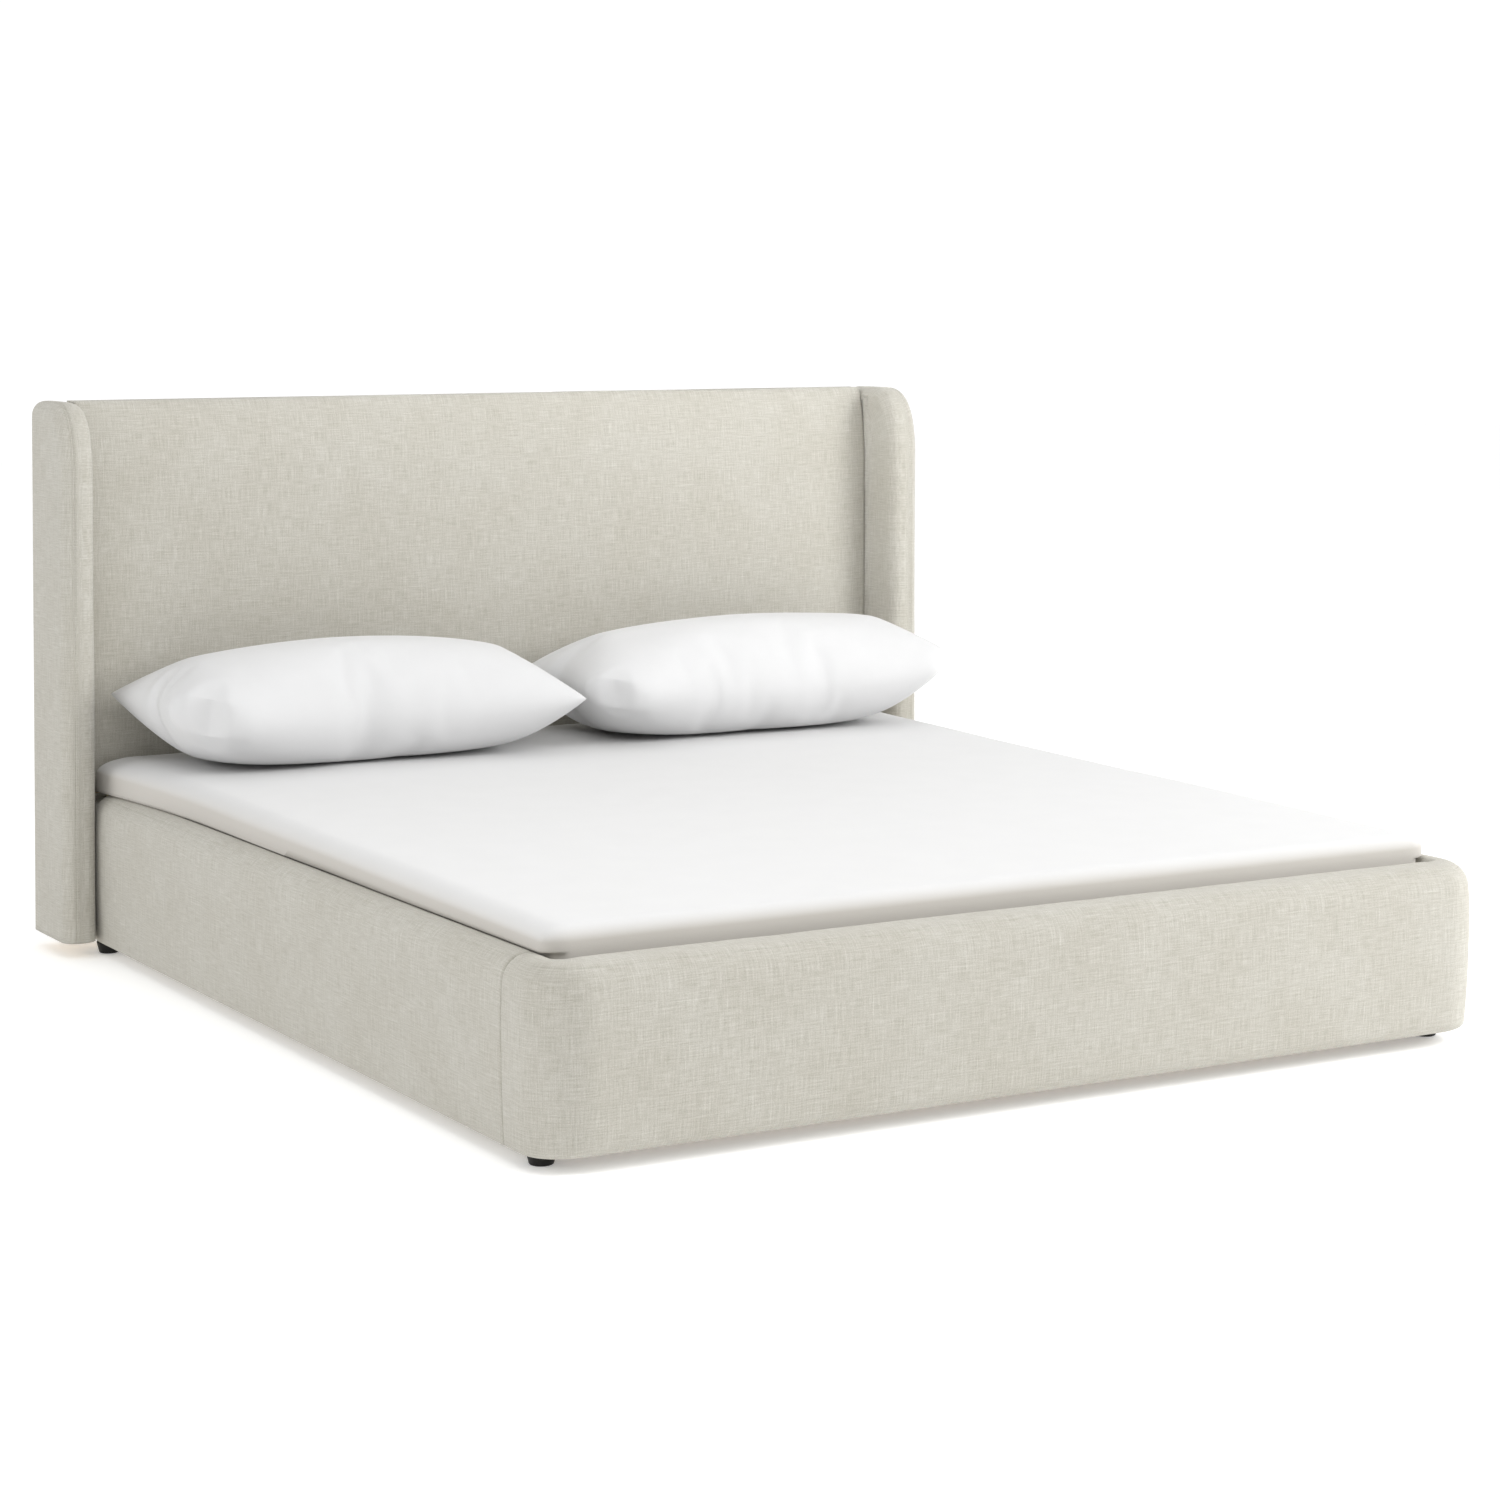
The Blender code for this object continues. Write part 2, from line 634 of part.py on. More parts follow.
def make_centre_legs(beam_bottom, timber, plastic):
    for place, depth in LEG_DEPTHS.items():
        middle = Vector((0, behind_foot(depth), 0))
        half = LEG_WIDTH / 2
        leg = box(
            f"centre_leg_{place}",
            (-half, middle.y - half, LEG_BOTTOM),
            (half, middle.y + half, beam_bottom - FIT_GAP),
            timber,
            edge=BOARD_EDGE,
        )
        bore = bmesh.new()
        at_leg = Matrix.Translation(middle)
        below = LEG_BOTTOM - CUTTER_REACH
        hole = [(0, below), (LEVELLER_BORE_RADIUS, below)]
        hole += [(LEVELLER_BORE_RADIUS, LEVELLER_BORE_TOP), (0, LEVELLER_BORE_TOP)]
        turned(bore, hole, at_leg, STEM_SIDES)
        cut(leg, object_from(f"leveller_bore_{place}", bore, plastic))
        screw = bmesh.new()
        outline = [
            (0, 0),
            (LEVELLER_DISC_RADIUS - LEVELLER_CHAMFER, 0),
            (LEVELLER_DISC_RADIUS, LEVELLER_CHAMFER),
            (LEVELLER_DISC_RADIUS, LEVELLER_RIM_HEIGHT),
            (LEVELLER_HUB_RADIUS, LEVELLER_DISC_HEIGHT),
            (LEVELLER_STEM_RADIUS, LEVELLER_DISC_HEIGHT),
            (LEVELLER_STEM_RADIUS, LEVELLER_STEM_TOP),
            (0, LEVELLER_STEM_TOP),
        ]
        turned(screw, outline, Matrix.Identity(4), STEM_SIDES)
        leveller = object_from(f"leveller_{place}", screw, plastic, smooth=True)
        leveller.location = middle


def make_corner_feet(black):
    places = {"front": FRONT_FOOT_PLACE, "rear": REAR_FOOT_PLACE}
    top = SURROUND_BOTTOM - FIT_GAP
    outline = [(0, 0), (PEG_BOTTOM_RADIUS - PEG_CHAMFER, 0), (PEG_BOTTOM_RADIUS, PEG_CHAMFER)]
    outline += [(PEG_TOP_RADIUS, top - PEG_CHAMFER), (PEG_TOP_RADIUS - PEG_CHAMFER, top), (0, top)]
    for end, (offset, depth) in places.items():
        for side, sign in SIDES.items():
            builder = bmesh.new()
            turned(builder, outline, Matrix.Identity(4), ROUND_SIDES)
            foot = object_from(f"foot_{end}_{side}", builder, black, smooth=True)
            foot.location = (sign * offset, behind_foot(depth), 0)


# ---------------------------------------------------------------- brackets


def make_brackets(steel):
    """Straps round the inside of both front corners, and angles where the rails meet the headboard."""
    strap = [side_station(FOOT_BRACKET_RAIL_END), *corner_stations(), front_station(FOOT_BRACKET_FRONT_END)]
    board_inner = RAIL_HALF_WIDTH - RAIL_THICKNESS + COVER_SPACE - FIT_GAP
    base_face = behind_foot(RAIL_END_DEPTH)
    thick = BRACKET_THICKNESS
    angle = [
        (board_inner, behind_foot(HEAD_BRACKET_RAIL_END)),
        (board_inner, base_face),
        (HEAD_BRACKET_INNER_END, base_face),
        (HEAD_BRACKET_INNER_END, base_face - thick),
        (board_inner - thick, base_face - thick),
        (board_inner - thick, behind_foot(HEAD_BRACKET_RAIL_END)),
    ]
    brackets = []
    for side, sign in SIDES.items():
        stations = strap if sign > 0 else mirrored(strap)
        brackets.append(sweep(f"corner_bracket_foot_{side}", bracket_section, stations, steel))
        levels = (BRACKET_BOTTOM, BRACKET_TOP)
        rings = [[(sign * x, y, level) for x, y in angle] for level in levels]
        brackets.append(loft(f"corner_bracket_head_{side}", rings, steel, smooth=False))
    return brackets


def bolt_places():
    """Where each bolt's head sits on its bracket, and the direction of its shank."""
    height = (BRACKET_BOTTOM + BRACKET_TOP) / 2
    rail_face = RAIL_HALF_WIDTH - RAIL_THICKNESS + COVER_SPACE - FIT_GAP - BRACKET_THICKNESS
    foot_face = behind_foot(FOOT_THICKNESS - COVER_SPACE + FIT_GAP + BRACKET_THICKNESS)
    head_face = behind_foot(RAIL_END_DEPTH) - BRACKET_THICKNESS
    places = []
    for sign in SIDES.values():
        for depth in RAIL_BOLT_DEPTHS:
            places.append((Vector((sign * rail_face, behind_foot(depth), height)), Vector((sign, 0, 0))))
        for offset in FOOT_BOLT_OFFSETS:
            places.append((Vector((sign * offset, foot_face, height)), Vector((0, -1, 0))))
        for offset in HEAD_BOLT_OFFSETS:
            places.append((Vector((sign * offset, head_face, height)), Vector((0, 1, 0))))
    return places


def make_bolt_holes(steel, holed):
    """Clearance holes for the corner bolts, through the brackets and on into the boards."""
    holes = bmesh.new()
    hole = [(0, -BOLT_HOLE_LEAD), (BOLT_HOLE_RADIUS, -BOLT_HOLE_LEAD)]
    hole += [(BOLT_HOLE_RADIUS, BOLT_HOLE_LENGTH), (0, BOLT_HOLE_LENGTH)]
    for seat, direction in bolt_places():
        placed = direction.to_track_quat("Z", "Y").to_matrix().to_4x4()
        placed.translation = seat
        turned(holes, hole, placed, HOLE_SIDES)
    cutter = object_from("bolt_holes", holes, steel)
    for target in holed:
        cut(target, cutter)


# ---------------------------------------------------------------- mattress and pillows


def mattress_top(y):
    """Height of the mattress, which is a little plumper towards the head."""
    low, high = behind_foot(MATTRESS_FOOT_DEPTH), behind_foot(MATTRESS_HEAD_DEPTH)
    return MATTRESS_TOP_AT_FOOT + (MATTRESS_TOP_AT_HEAD - MATTRESS_TOP_AT_FOOT) * (y - low) / (high - low)


def at_level(x, y, height):
    """A point of the mattress whose height is given for its foot end."""
    share = (height - MATTRESS_BOTTOM) / (MATTRESS_TOP_AT_FOOT - MATTRESS_BOTTOM)
    return x, y, MATTRESS_BOTTOM + share * (mattress_top(y) - MATTRESS_BOTTOM)


def rounded_rectangle(inset, height):
    """The mattress outline at one level, inset all round, with its corners' radius kept in proportion."""
    half = MATTRESS_HALF_WIDTH - inset
    low, high = behind_foot(MATTRESS_FOOT_DEPTH) + inset, behind_foot(MATTRESS_HEAD_DEPTH) - inset
    radius = max(MATTRESS_PLAN_RADIUS - inset, MATTRESS_LEAST_RADIUS)
    corners = [(half, high, 0), (-half, high, 90), (-half, low, 180), (half, low, 270)]
    points = []
    for x, y, start in corners:
        centre = (x - math.copysign(radius, x), y - radius if y == high else y + radius)
        points += [at_level(*point, height) for point in arc(centre, radius, start, start + 90, EDGE_STEPS)]
    return points


def mattress_levels(inset, bottom):
    """Outlines of the mattress from its underside up to its top, inset on every side."""
    radius = MATTRESS_EDGE_RADIUS - inset
    bottom_steps, top_steps = [], []
    for step in range(EDGE_STEPS + 1):
        angle = math.radians(90 * step / EDGE_STEPS)
        side_in = inset + radius * (1 - math.sin(angle))
        rise = radius * (1 - math.cos(angle))
        bottom_steps.append((side_in, bottom + inset + rise))
        top_steps.append((side_in, MATTRESS_TOP_AT_FOOT - inset - rise))
    return bottom_steps + top_steps[::-1]


def make_mattress(foam, ticking):
    core_levels = mattress_levels(COVER_SPACE, MATTRESS_BOTTOM)
    loft("mattress_core", [rounded_rectangle(*level) for level in core_levels], foam)
    outside = [(MATTRESS_HEM_INSET, MATTRESS_BOTTOM), *mattress_levels(0.0, MATTRESS_BOTTOM)]
    inside_levels = mattress_levels(COVER_THICKNESS, MATTRESS_BOTTOM)
    inside = [(MATTRESS_HEM_INSET, MATTRESS_BOTTOM + COVER_THICKNESS), *inside_levels]
    builder = bmesh.new()
    skins = []
    for levels in (outside, inside):
        rings = [[builder.verts.new(point) for point in rounded_rectangle(*level)] for level in levels]
        for ring, following in zip(rings, rings[1:]):
            for here in range(len(ring)):
                after = (here + 1) % len(ring)
                builder.faces.new((ring[here], ring[after], following[after], following[here]))
        builder.faces.new(rings[-1])
        skins.append(rings[0])
    outer_hem, inner_hem = skins
    for here in range(len(outer_hem)):
        after = (here + 1) % len(outer_hem)
        builder.faces.new((outer_hem[here], inner_hem[here], inner_hem[after], outer_hem[after]))
    object_from("mattress_cover", builder, ticking, smooth=True)


def pillow_plan(across, along):
    """A point of the pillow's seam plane. The sides pull in between the four pinched corners."""
    pulled = math.copysign(PILLOW_SIDE_PULL, across) * abs(across) ** 3
    x = PILLOW_LENGTH / 2 * across - pulled * (1 - along**2)
    y = PILLOW_DEPTH / 2 * along - math.copysign(PILLOW_SIDE_PULL, along) * abs(along) ** 3 * (1 - across**2)
    return x, y


def pillow_swell(across, along):
    """How full the pillow is, from 0 on its seam to 1 in its middle."""
    return ((1 - across**4) * (1 - along**2)) ** 0.5


def make_pillow(side, linen):
    columns, rows = PILLOW_COLUMNS, PILLOW_ROWS
    seam_height = PILLOW_HEIGHT * PILLOW_SEAM_SHARE
    builder = bmesh.new()
    grids = {}
    for half, reach in {"upper": PILLOW_HEIGHT - seam_height, "lower": -seam_height}.items():
        grid = []
        for column in range(columns + 1):
            across = -math.cos(math.pi * column / columns)
            for row in range(rows + 1):
                along = -math.cos(math.pi * row / rows)
                on_seam = column in (0, columns) or row in (0, rows)
                if on_seam and half == "lower":
                    grid.append(grids["upper"][column * (rows + 1) + row])
                    continue
                swell = 0.0 if on_seam else pillow_swell(across, along)
                height = max(seam_height + reach * swell, 0.0)
                grid.append(builder.verts.new((*pillow_plan(across, along), height)))
        grids[half] = grid
        for column in range(columns):
            for row in range(rows):
                corner = column * (rows + 1) + row
                face = (grid[corner], grid[corner + rows + 1], grid[corner + rows + 2], grid[corner + 1])
                builder.faces.new(face if half == "upper" else face[::-1])
    pillow = object_from(f"pillow_{side}", builder, linen, smooth=True)
    middle = behind_foot(PILLOW_MIDDLE_DEPTH)
    pillow.location = (PILLOW_OFFSETS[side], middle, mattress_top(middle) + FIT_GAP)


# ---------------------------------------------------------------- assembly


def main():
    for old in list(bpy.data.objects):
        bpy.data.objects.remove(old)
    fabric = material("oatmeal_linen", (0.62, 0.59, 0.52), 0.9)
    foam = material("upholstery_foam", (0.80, 0.76, 0.60), 0.95)
    plywood = material("plywood", (0.58, 0.44, 0.28), 0.7)
    timber = material("pine_timber", (0.66, 0.50, 0.31), 0.65)
    steel = material("zinc_steel", (0.55, 0.56, 0.57), 0.4, 1.0)
    black = material("black_foot", (0.012, 0.011, 0.010), 0.45)
    ticking = material("white_mattress_cover", (0.86, 0.86, 0.86), 0.9)
    linen = material("white_pillow_cotton", (0.90, 0.90, 0.90), 0.9)
    boards = make_surround(fabric, foam, plywood)
    base_rail = make_headboard_panel(fabric, foam, plywood, timber)
    for side, sign in SIDES.items():
        make_wing(side, sign, fabric, foam, plywood)
    make_slats(timber)
    beam_bottom = make_supports(timber, steel)
    make_centre_legs(beam_bottom, timber, black)
    make_corner_feet(black)
    brackets = make_brackets(steel)
    make_bolt_holes(steel, [*boards, base_rail, *brackets])
    make_mattress(foam, ticking)
    for side in SIDES:
        make_pillow(side, linen)


main()
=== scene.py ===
"""The looks of the upholstered winged bed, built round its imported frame.

Metres, +Z up, in the frame's own axes: the headboard is towards +Y, and "left" is -X. The padded covers
are fine-meshed skins over foam, the pillows are inflated by cloth simulation, and every material is
made of nodes.
"""

import math

import bmesh
import bpy
import numpy as np
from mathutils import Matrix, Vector, noise


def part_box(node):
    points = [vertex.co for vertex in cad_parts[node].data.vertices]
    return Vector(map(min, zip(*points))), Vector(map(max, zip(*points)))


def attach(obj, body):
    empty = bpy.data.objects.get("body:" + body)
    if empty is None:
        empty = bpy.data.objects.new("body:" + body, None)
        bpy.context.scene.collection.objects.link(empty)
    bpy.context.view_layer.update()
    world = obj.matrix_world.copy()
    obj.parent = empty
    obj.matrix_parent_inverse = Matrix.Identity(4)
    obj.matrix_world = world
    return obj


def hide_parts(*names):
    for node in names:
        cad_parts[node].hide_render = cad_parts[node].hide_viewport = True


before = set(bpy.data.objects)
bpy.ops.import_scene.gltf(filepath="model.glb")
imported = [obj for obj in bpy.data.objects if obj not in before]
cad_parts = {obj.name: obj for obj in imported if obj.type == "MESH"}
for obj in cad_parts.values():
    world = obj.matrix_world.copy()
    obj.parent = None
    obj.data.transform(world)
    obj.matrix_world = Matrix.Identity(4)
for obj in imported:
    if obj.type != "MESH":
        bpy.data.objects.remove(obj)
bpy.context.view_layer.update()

SIDES = {"left": -1, "right": 1}

# ---------------------------------------------------------------- sizes read from the frame

FOOT_LOW, FOOT_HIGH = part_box("footboard_cover")
RAIL_LOW, RAIL_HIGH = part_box("side_rail_cover_right")
RAIL_BOARD_LOW, RAIL_BOARD_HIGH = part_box("side_rail_board_right")
PANEL_LOW, PANEL_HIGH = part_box("headboard_cover")
PANEL_BOARD_LOW, PANEL_BOARD_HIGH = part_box("headboard_board")
WING_LOW, WING_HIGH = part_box("wing_cover_right")
MATTRESS_LOW, MATTRESS_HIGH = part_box("mattress_cover")
BACK_LOW, BACK_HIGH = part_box("headboard_back_panel")

RAIL_HALF_WIDTH = RAIL_HIGH.x
RAIL_THICKNESS = RAIL_HIGH.x - RAIL_LOW.x
SURROUND_TOP = RAIL_HIGH.z
SURROUND_BOTTOM = RAIL_LOW.z
HEAD_TOP = WING_HIGH.z
WING_HALF = (WING_HIGH.x - WING_LOW.x) / 2
WING_MIDDLE = (WING_HIGH.x + WING_LOW.x) / 2

# ---------------------------------------------------------------- sizes of the upholstery

CLOTH_MAP = "cloth"
COVER_THICKNESS = 0.0015
FIT_GAP = 0.0003
BOARD_INSET = COVER_THICKNESS + FIT_GAP
PADDING_INSET = COVER_THICKNESS + 0.0040

# Surround
FOOT_THICKNESS = 0.095
CORNER_RADIUS = 0.100
HEM_HEIGHT = 0.270
INNER_TOP_RADIUS = 0.018
OUTER_TOP_RADIUS = 0.045
RAIL_BOTTOM_RADIUS = 0.010
FOOT_BOTTOM_RADIUS = 0.028
CREST_HEIGHT = 0.240
TOP_TUCK = 0.002
RAIL_BOTTOM_TUCK = 0.005
FOOT_BOTTOM_TUCK = 0.011
UNDERSIDE_SHORT = 0.004
SEAM_ROLL_LENGTH = 0.009
SEAM_ROLL_DEPTH = 0.0045
NOSE_START = 0.045
NOSE_LENGTH = 0.034
NOSE_DEPTH = 0.016
NOSE_SIDE_SHARE = 0.35
TOP_SEAM_ANGLE = 124.0

# Headboard panel, and the cloth below it over the base rail
LOWER_CLOTH_ROOM = 0.002
LOWER_CLOTH_THICKNESS = 0.0008
FITTINGS_HALF_WIDTH = 0.914
FITTINGS_TOP = 0.1995
PANEL_ROLL_HEIGHT = 0.190
PANEL_ROLL_DEPTH = 0.045
PANEL_SIDE_ROLL = 0.010
PANEL_SIDE_REACH = 0.120
PANEL_CROWN = 0.004

# Wings
WING_CORNER_DEPTH = 0.100
WING_CORNER_HEIGHT = 0.160
WING_CORNER_FULLNESS = 0.86
WING_EDGE_RADIUS = 0.030
WING_SEAM_ANGLE = 13.5
WING_SEAM_GROOVE = (0.0011, 0.0015)
STITCH_GROOVE = (0.0009, 0.0007)
STITCH_OFFSET = 0.0035
STITCH_PITCH = 0.0062
STITCH_LENGTH = 0.0044
STITCH_RADIUS = 0.00075
STITCH_SIDES = 6
STITCH_RISE = 0.0004
STITCH_DEPTH = 0.0007
WING_CREASE_Y = PANEL_LOW.y + 0.0075
WING_CREASE_STRIP = 0.018
WING_FOAM_THICKNESS = 0.013
WING_FOAM_ROWS = slice(None, -14)
WING_FOAM_COLUMNS = slice(3, -14)
WING_BACK_RADIUS = 0.004
WING_BACK_REACH = 0.0052
WING_BACK_RETURN = (0.0015, 0.0055, 0.0098)
WING_BACK_SOFTNESS = 0.010
WING_CREASE_REACH = 0.0049
WING_CORE_TOP = PANEL_BOARD_HIGH.z + FIT_GAP
WING_SIDE_TOP = HEAD_TOP - WING_EDGE_RADIUS - 0.004
WING_CORNER_LOW = HEAD_TOP - WING_CORNER_HEIGHT
CLOSING_ANGLES = (22, 45, 67, 90)
CLOSING_SHARES = (0.30, 0.50, 0.70, 0.85, 0.97)
INNER_SHARES = (1.0, 0.76, 0.58, 0.45, 0.36, 0.30, 0.24, 0.19, 0.145, 0.105, 0.072, 0.045, 0.023, 0.008, 0.0)
OUTER_SHARES = (0.04, 0.12, 0.24, 0.38, 0.52, 0.66, 0.78, 0.87, 0.93, 0.955, 0.975, 0.99, 1.0)

# Mattress
MATTRESS_TOP_AT_FOOT = 0.384
MATTRESS_EDGE_RADIUS = 0.030
MATTRESS_OVERHANG = 0.018
MATTRESS_HEAD_FULLNESS = 0.042
MATTRESS_FULL_LENGTH = 0.60
MATTRESS_CROWN = 0.004
MATTRESS_STEP = 0.020
MATTRESS_LEDGE = (0.0004, 0.0022)
MATTRESS_HEAD_ROOM = 0.006
MATTRESS_HEM_INSET = 0.080

# Feet
FOOT_TAPER = 0.81
FOOT_EDGE = 0.004

# Studio
CAMERA_PLACE = (-3.3286, -5.8204, 1.4094)
CAMERA_DOWN = 1.871
CAMERA_TURN = -30.139
CAMERA_LENS = 81.006
CAMERA_SHIFT = -0.2376
WORLD_BRIGHT_SIDE = (0.504, 0.864, 0.0)
WORLD_BRIGHT = 1.06
WORLD_DIM = 0.66
FLOOR_HALF = 20.0
FLOOR_GLOW = 0.27
# Each light's place, target, width and height, power in watts, and spread in degrees
LIGHTS = {
    "key": ((4.0, -3.0, 2.6), (0.2, 0.0, 0.4), (2.4, 2.4), 190.0, 180.0),
    "fill": ((-7.5, 0.3, 3.6), (0.0, 0.4, 0.4), (3.5, 3.5), 92.0, 180.0),
    "wing": ((-2.6, -0.65, 2.0), (0.98, 1.0, 1.15), (0.8, 0.8), 1.3, 28.0),
    "top": ((0.0, 0.0, 5.0), (0.0, 0.0, 0.0), (5.0, 5.0), 20.0, 180.0),
    "head": ((-1.3, -1.8, 2.7), (-0.1, 1.1, 0.75), (2.0, 1.2), 21.0, 180.0),
}

# Grooves and unevenness of the stuffed surfaces
GROOVE_STEPS = (-0.006, -0.0035, -0.002, -0.001, 0.0, 0.001, 0.002, 0.0035, 0.006)


# ---------------------------------------------------------------- nodes of the materials


def new_material(name, colour, roughness, **settings):
    """A material, its node tree and its shader, with the settings that are the same all over."""
    made = bpy.data.materials.new(name)
    made.use_nodes = True
    tree = made.node_tree
    shader = tree.nodes["Principled BSDF"]
    shader.inputs["Base Color"].default_value = (*colour, 1.0)
    shader.inputs["Roughness"].default_value = roughness
    for socket, value in settings.items():
        shader.inputs[socket.replace("_", " ")].default_value = value
    return made, tree, shader


def add(tree, kind, inputs, **settings):
    """Adds a shader node. An input is a socket to link or a value to set."""
    made = tree.nodes.new("ShaderNode" + kind)
    for name, value in settings.items():
        setattr(made, name, value)
    for name, value in inputs.items():
        if isinstance(value, bpy.types.NodeSocket):
            tree.links.new(value, made.inputs[name])
        else:
            made.inputs[name].default_value = value
    return made


def combine(tree, operation, first, second):
    return add(tree, "Math", {0: first, 1: second}, operation=operation).outputs[0]


def mean_of(tree, first, second, share=0.5):
    """The mean of two values, with that share of the second."""
    parts = [combine(tree, "MULTIPLY", first, 1 - share), combine(tree, "MULTIPLY", second, share)]
    return combine(tree, "ADD", *parts)


def own_place(tree):
    """The place on the object, in metres."""
    return add(tree, "TexCoord", {}).outputs["Object"]


def stretched_noise(tree, where, cell, detail=2.0):
    """Noise between 0 and 1 whose cells measure cell, in metres, along each axis."""
    scale = [1 / size for size in cell]
    moved = add(tree, "Mapping", {"Vector": where, "Scale": scale})
    made = add(tree, "TexNoise", {"Vector": moved.outputs[0], "Scale": 1.0, "Detail": detail})
    return made.outputs[0]


def even_noise(tree, where, cell, detail=2.0):
    """Noise whose cells are equally long in every direction."""
    return stretched_noise(tree, where, (cell, cell, cell), detail)


def bands(tree, where, pitch, direction, wander):
    """Parallel ridges with that pitch in metres, which wander a little as yarn does. At a scale of 1 the
    wave texture has a ridge every pi / 10 metres."""
    scale = math.pi / 10 / pitch
    inputs = {"Vector": where, "Scale": scale, "Distortion": wander, "Detail": 1.0, "Detail Scale": 0.6}
    made = add(tree, "TexWave", inputs, bands_direction=direction, wave_profile="SIN")
    return made.outputs["Fac"]


def mix_colour(tree, share, first, second, blend="MIX"):
    """Mixes two colours, each a socket or three numbers."""
    made = tree.nodes.new("ShaderNodeMix")
    made.data_type = "RGBA"
    made.blend_type = blend
    for name, value in ((0, share), (6, first), (7, second)):
        if isinstance(value, bpy.types.NodeSocket):
            tree.links.new(value, made.inputs[name])
        else:
            made.inputs[name].default_value = value if name == 0 else (*value, 1.0)
    return made.outputs[2]


def ramp(tree, value, low, high):
    """Stretches the range from low to high over 0 to 1."""
    inputs = {"Value": value, "From Min": low, "From Max": high}
    return add(tree, "MapRange", inputs, clamp=True).outputs[0]


def paint(tree, shader, tone, span, first, second):
    """Colours the shader from first to second while the tone goes over its span."""
    colour = mix_colour(tree, ramp(tree, tone, *span), first, second)
    tree.links.new(colour, shader.inputs["Base Color"])


def bump(tree, shader, height, distance, strength):
    made = add(tree, "Bump", {"Height": height, "Distance": distance, "Strength": strength})
    tree.links.new(made.outputs[0], shader.inputs["Normal"])


# ---------------------------------------------------------------- materials


def linen_material():
    """Oatmeal linen-look weave: two-way threads with thick slubs, and pale and dark yarns mixed."""
    made, tree, shader = new_material(
        "oatmeal_linen_weave",
        (0.62, 0.60, 0.54),
        0.92,
        Sheen_Weight=0.18,
        Sheen_Roughness=0.55,
        Specular_IOR_Level=0.18,
    )
    cloth = add(tree, "UVMap", {}, uv_map=CLOTH_MAP).outputs[0]
    across = stretched_noise(tree, cloth, (0.040, 0.0023, 1.0), 3.0)
    upright = stretched_noise(tree, cloth, (0.0023, 0.040, 1.0), 3.0)
    long_slub = ramp(tree, stretched_noise(tree, cloth, (0.110, 0.0042, 1.0), 1.0), 0.60, 0.78)
    tall_slub = ramp(tree, stretched_noise(tree, cloth, (0.0042, 0.110, 1.0), 1.0), 0.60, 0.78)
    fleck = stretched_noise(tree, cloth, (0.0022, 0.0022, 1.0), 1.0)
    patch = stretched_noise(tree, cloth, (0.160, 0.160, 1.0), 1.0)
    warp = bands(tree, cloth, 0.0014, "X", 1.5)
    weft = bands(tree, cloth, 0.0014, "Y", 1.5)
    threads = mean_of(tree, across, upright)
    slubs = combine(tree, "ADD", long_slub, tall_slub)
    tone = combine(tree, "ADD", ramp(tree, threads, 0.30, 0.70), combine(tree, "MULTIPLY", slubs, 0.22))
    tone = combine(tree, "ADD", tone, combine(tree, "MULTIPLY", combine(tree, "SUBTRACT", fleck, 0.5), 1.1))
    colour = mix_colour(tree, ramp(tree, tone, 0.0, 1.15), (0.392, 0.373, 0.318), (0.602, 0.588, 0.540))
    shade = mix_colour(tree, ramp(tree, patch, 0.35, 0.65), (0.965, 0.960, 0.950), (1.0, 1.0, 1.0))
    tree.links.new(mix_colour(tree, 1.0, colour, shade, "MULTIPLY"), shader.inputs["Base Color"])
    warp_yarn = combine(tree, "MULTIPLY", warp, across)
    weft_yarn = combine(tree, "MULTIPLY", weft, upright)
    yarn = combine(tree, "MAXIMUM", warp_yarn, weft_yarn)
    height = combine(tree, "ADD", yarn, combine(tree, "MULTIPLY", slubs, 0.5))
    bump(tree, shader, combine(tree, "ADD", height, threads), 0.0009, 0.55)
    return made


def fine_weave(tree, shader, pitch, softness):
    """Gives a white cloth its close weave and faint unevenness, and returns their tone from 0 to 1."""
    place = own_place(tree)
    weave = even_noise(tree, place, pitch)
    cloud = even_noise(tree, place, softness)
    bump(tree, shader, combine(tree, "ADD", weave, combine(tree, "MULTIPLY", cloud, 0.8)), 0.0005, 0.30)
    return ramp(tree, mean_of(tree, weave, cloud), 0.3, 0.7)


def cotton_material():
    """Fine white pillow cotton."""
    colour = (0.665, 0.665, 0.667)
    made, tree, shader = new_material(
        "white_pillow_cotton", colour, 0.85, Sheen_Weight=0.15, Sheen_Roughness=0.5, Specular_IOR_Level=0.25
    )
    darker = tuple(0.965 * part for part in colour)
    tone = fine_weave(tree, shader, 0.0012, 0.06)
    tree.links.new(mix_colour(tree, tone, darker, colour), shader.inputs["Base Color"])
    return made


def ticking_material():
    """White knitted cloth, with painted shade: a darker taupe wherever the mattress faces sideways or down,
    blending to white where it faces up.
    """
    made, tree, shader = new_material(
        "white_mattress_knit", (0.72, 0.718, 0.715), 0.88, Sheen_Weight=0.1, Specular_IOR_Level=0.2
    )
    tone = fine_weave(tree, shader, 0.0020, 0.080)
    top = mix_colour(tree, tone, (0.655, 0.654, 0.652), (0.675, 0.674, 0.672))
    # Painted shade: the colour runs from taupe where the surface faces sideways to white where it faces up,
    # following the normal's height.
    facing = add(tree, "SeparateXYZ", {0: add(tree, "NewGeometry", {}).outputs["Normal"]}).outputs[2]
    paint(tree, shader, facing, (0.05, 0.95), (0.560, 0.537, 0.500), top)
    return made


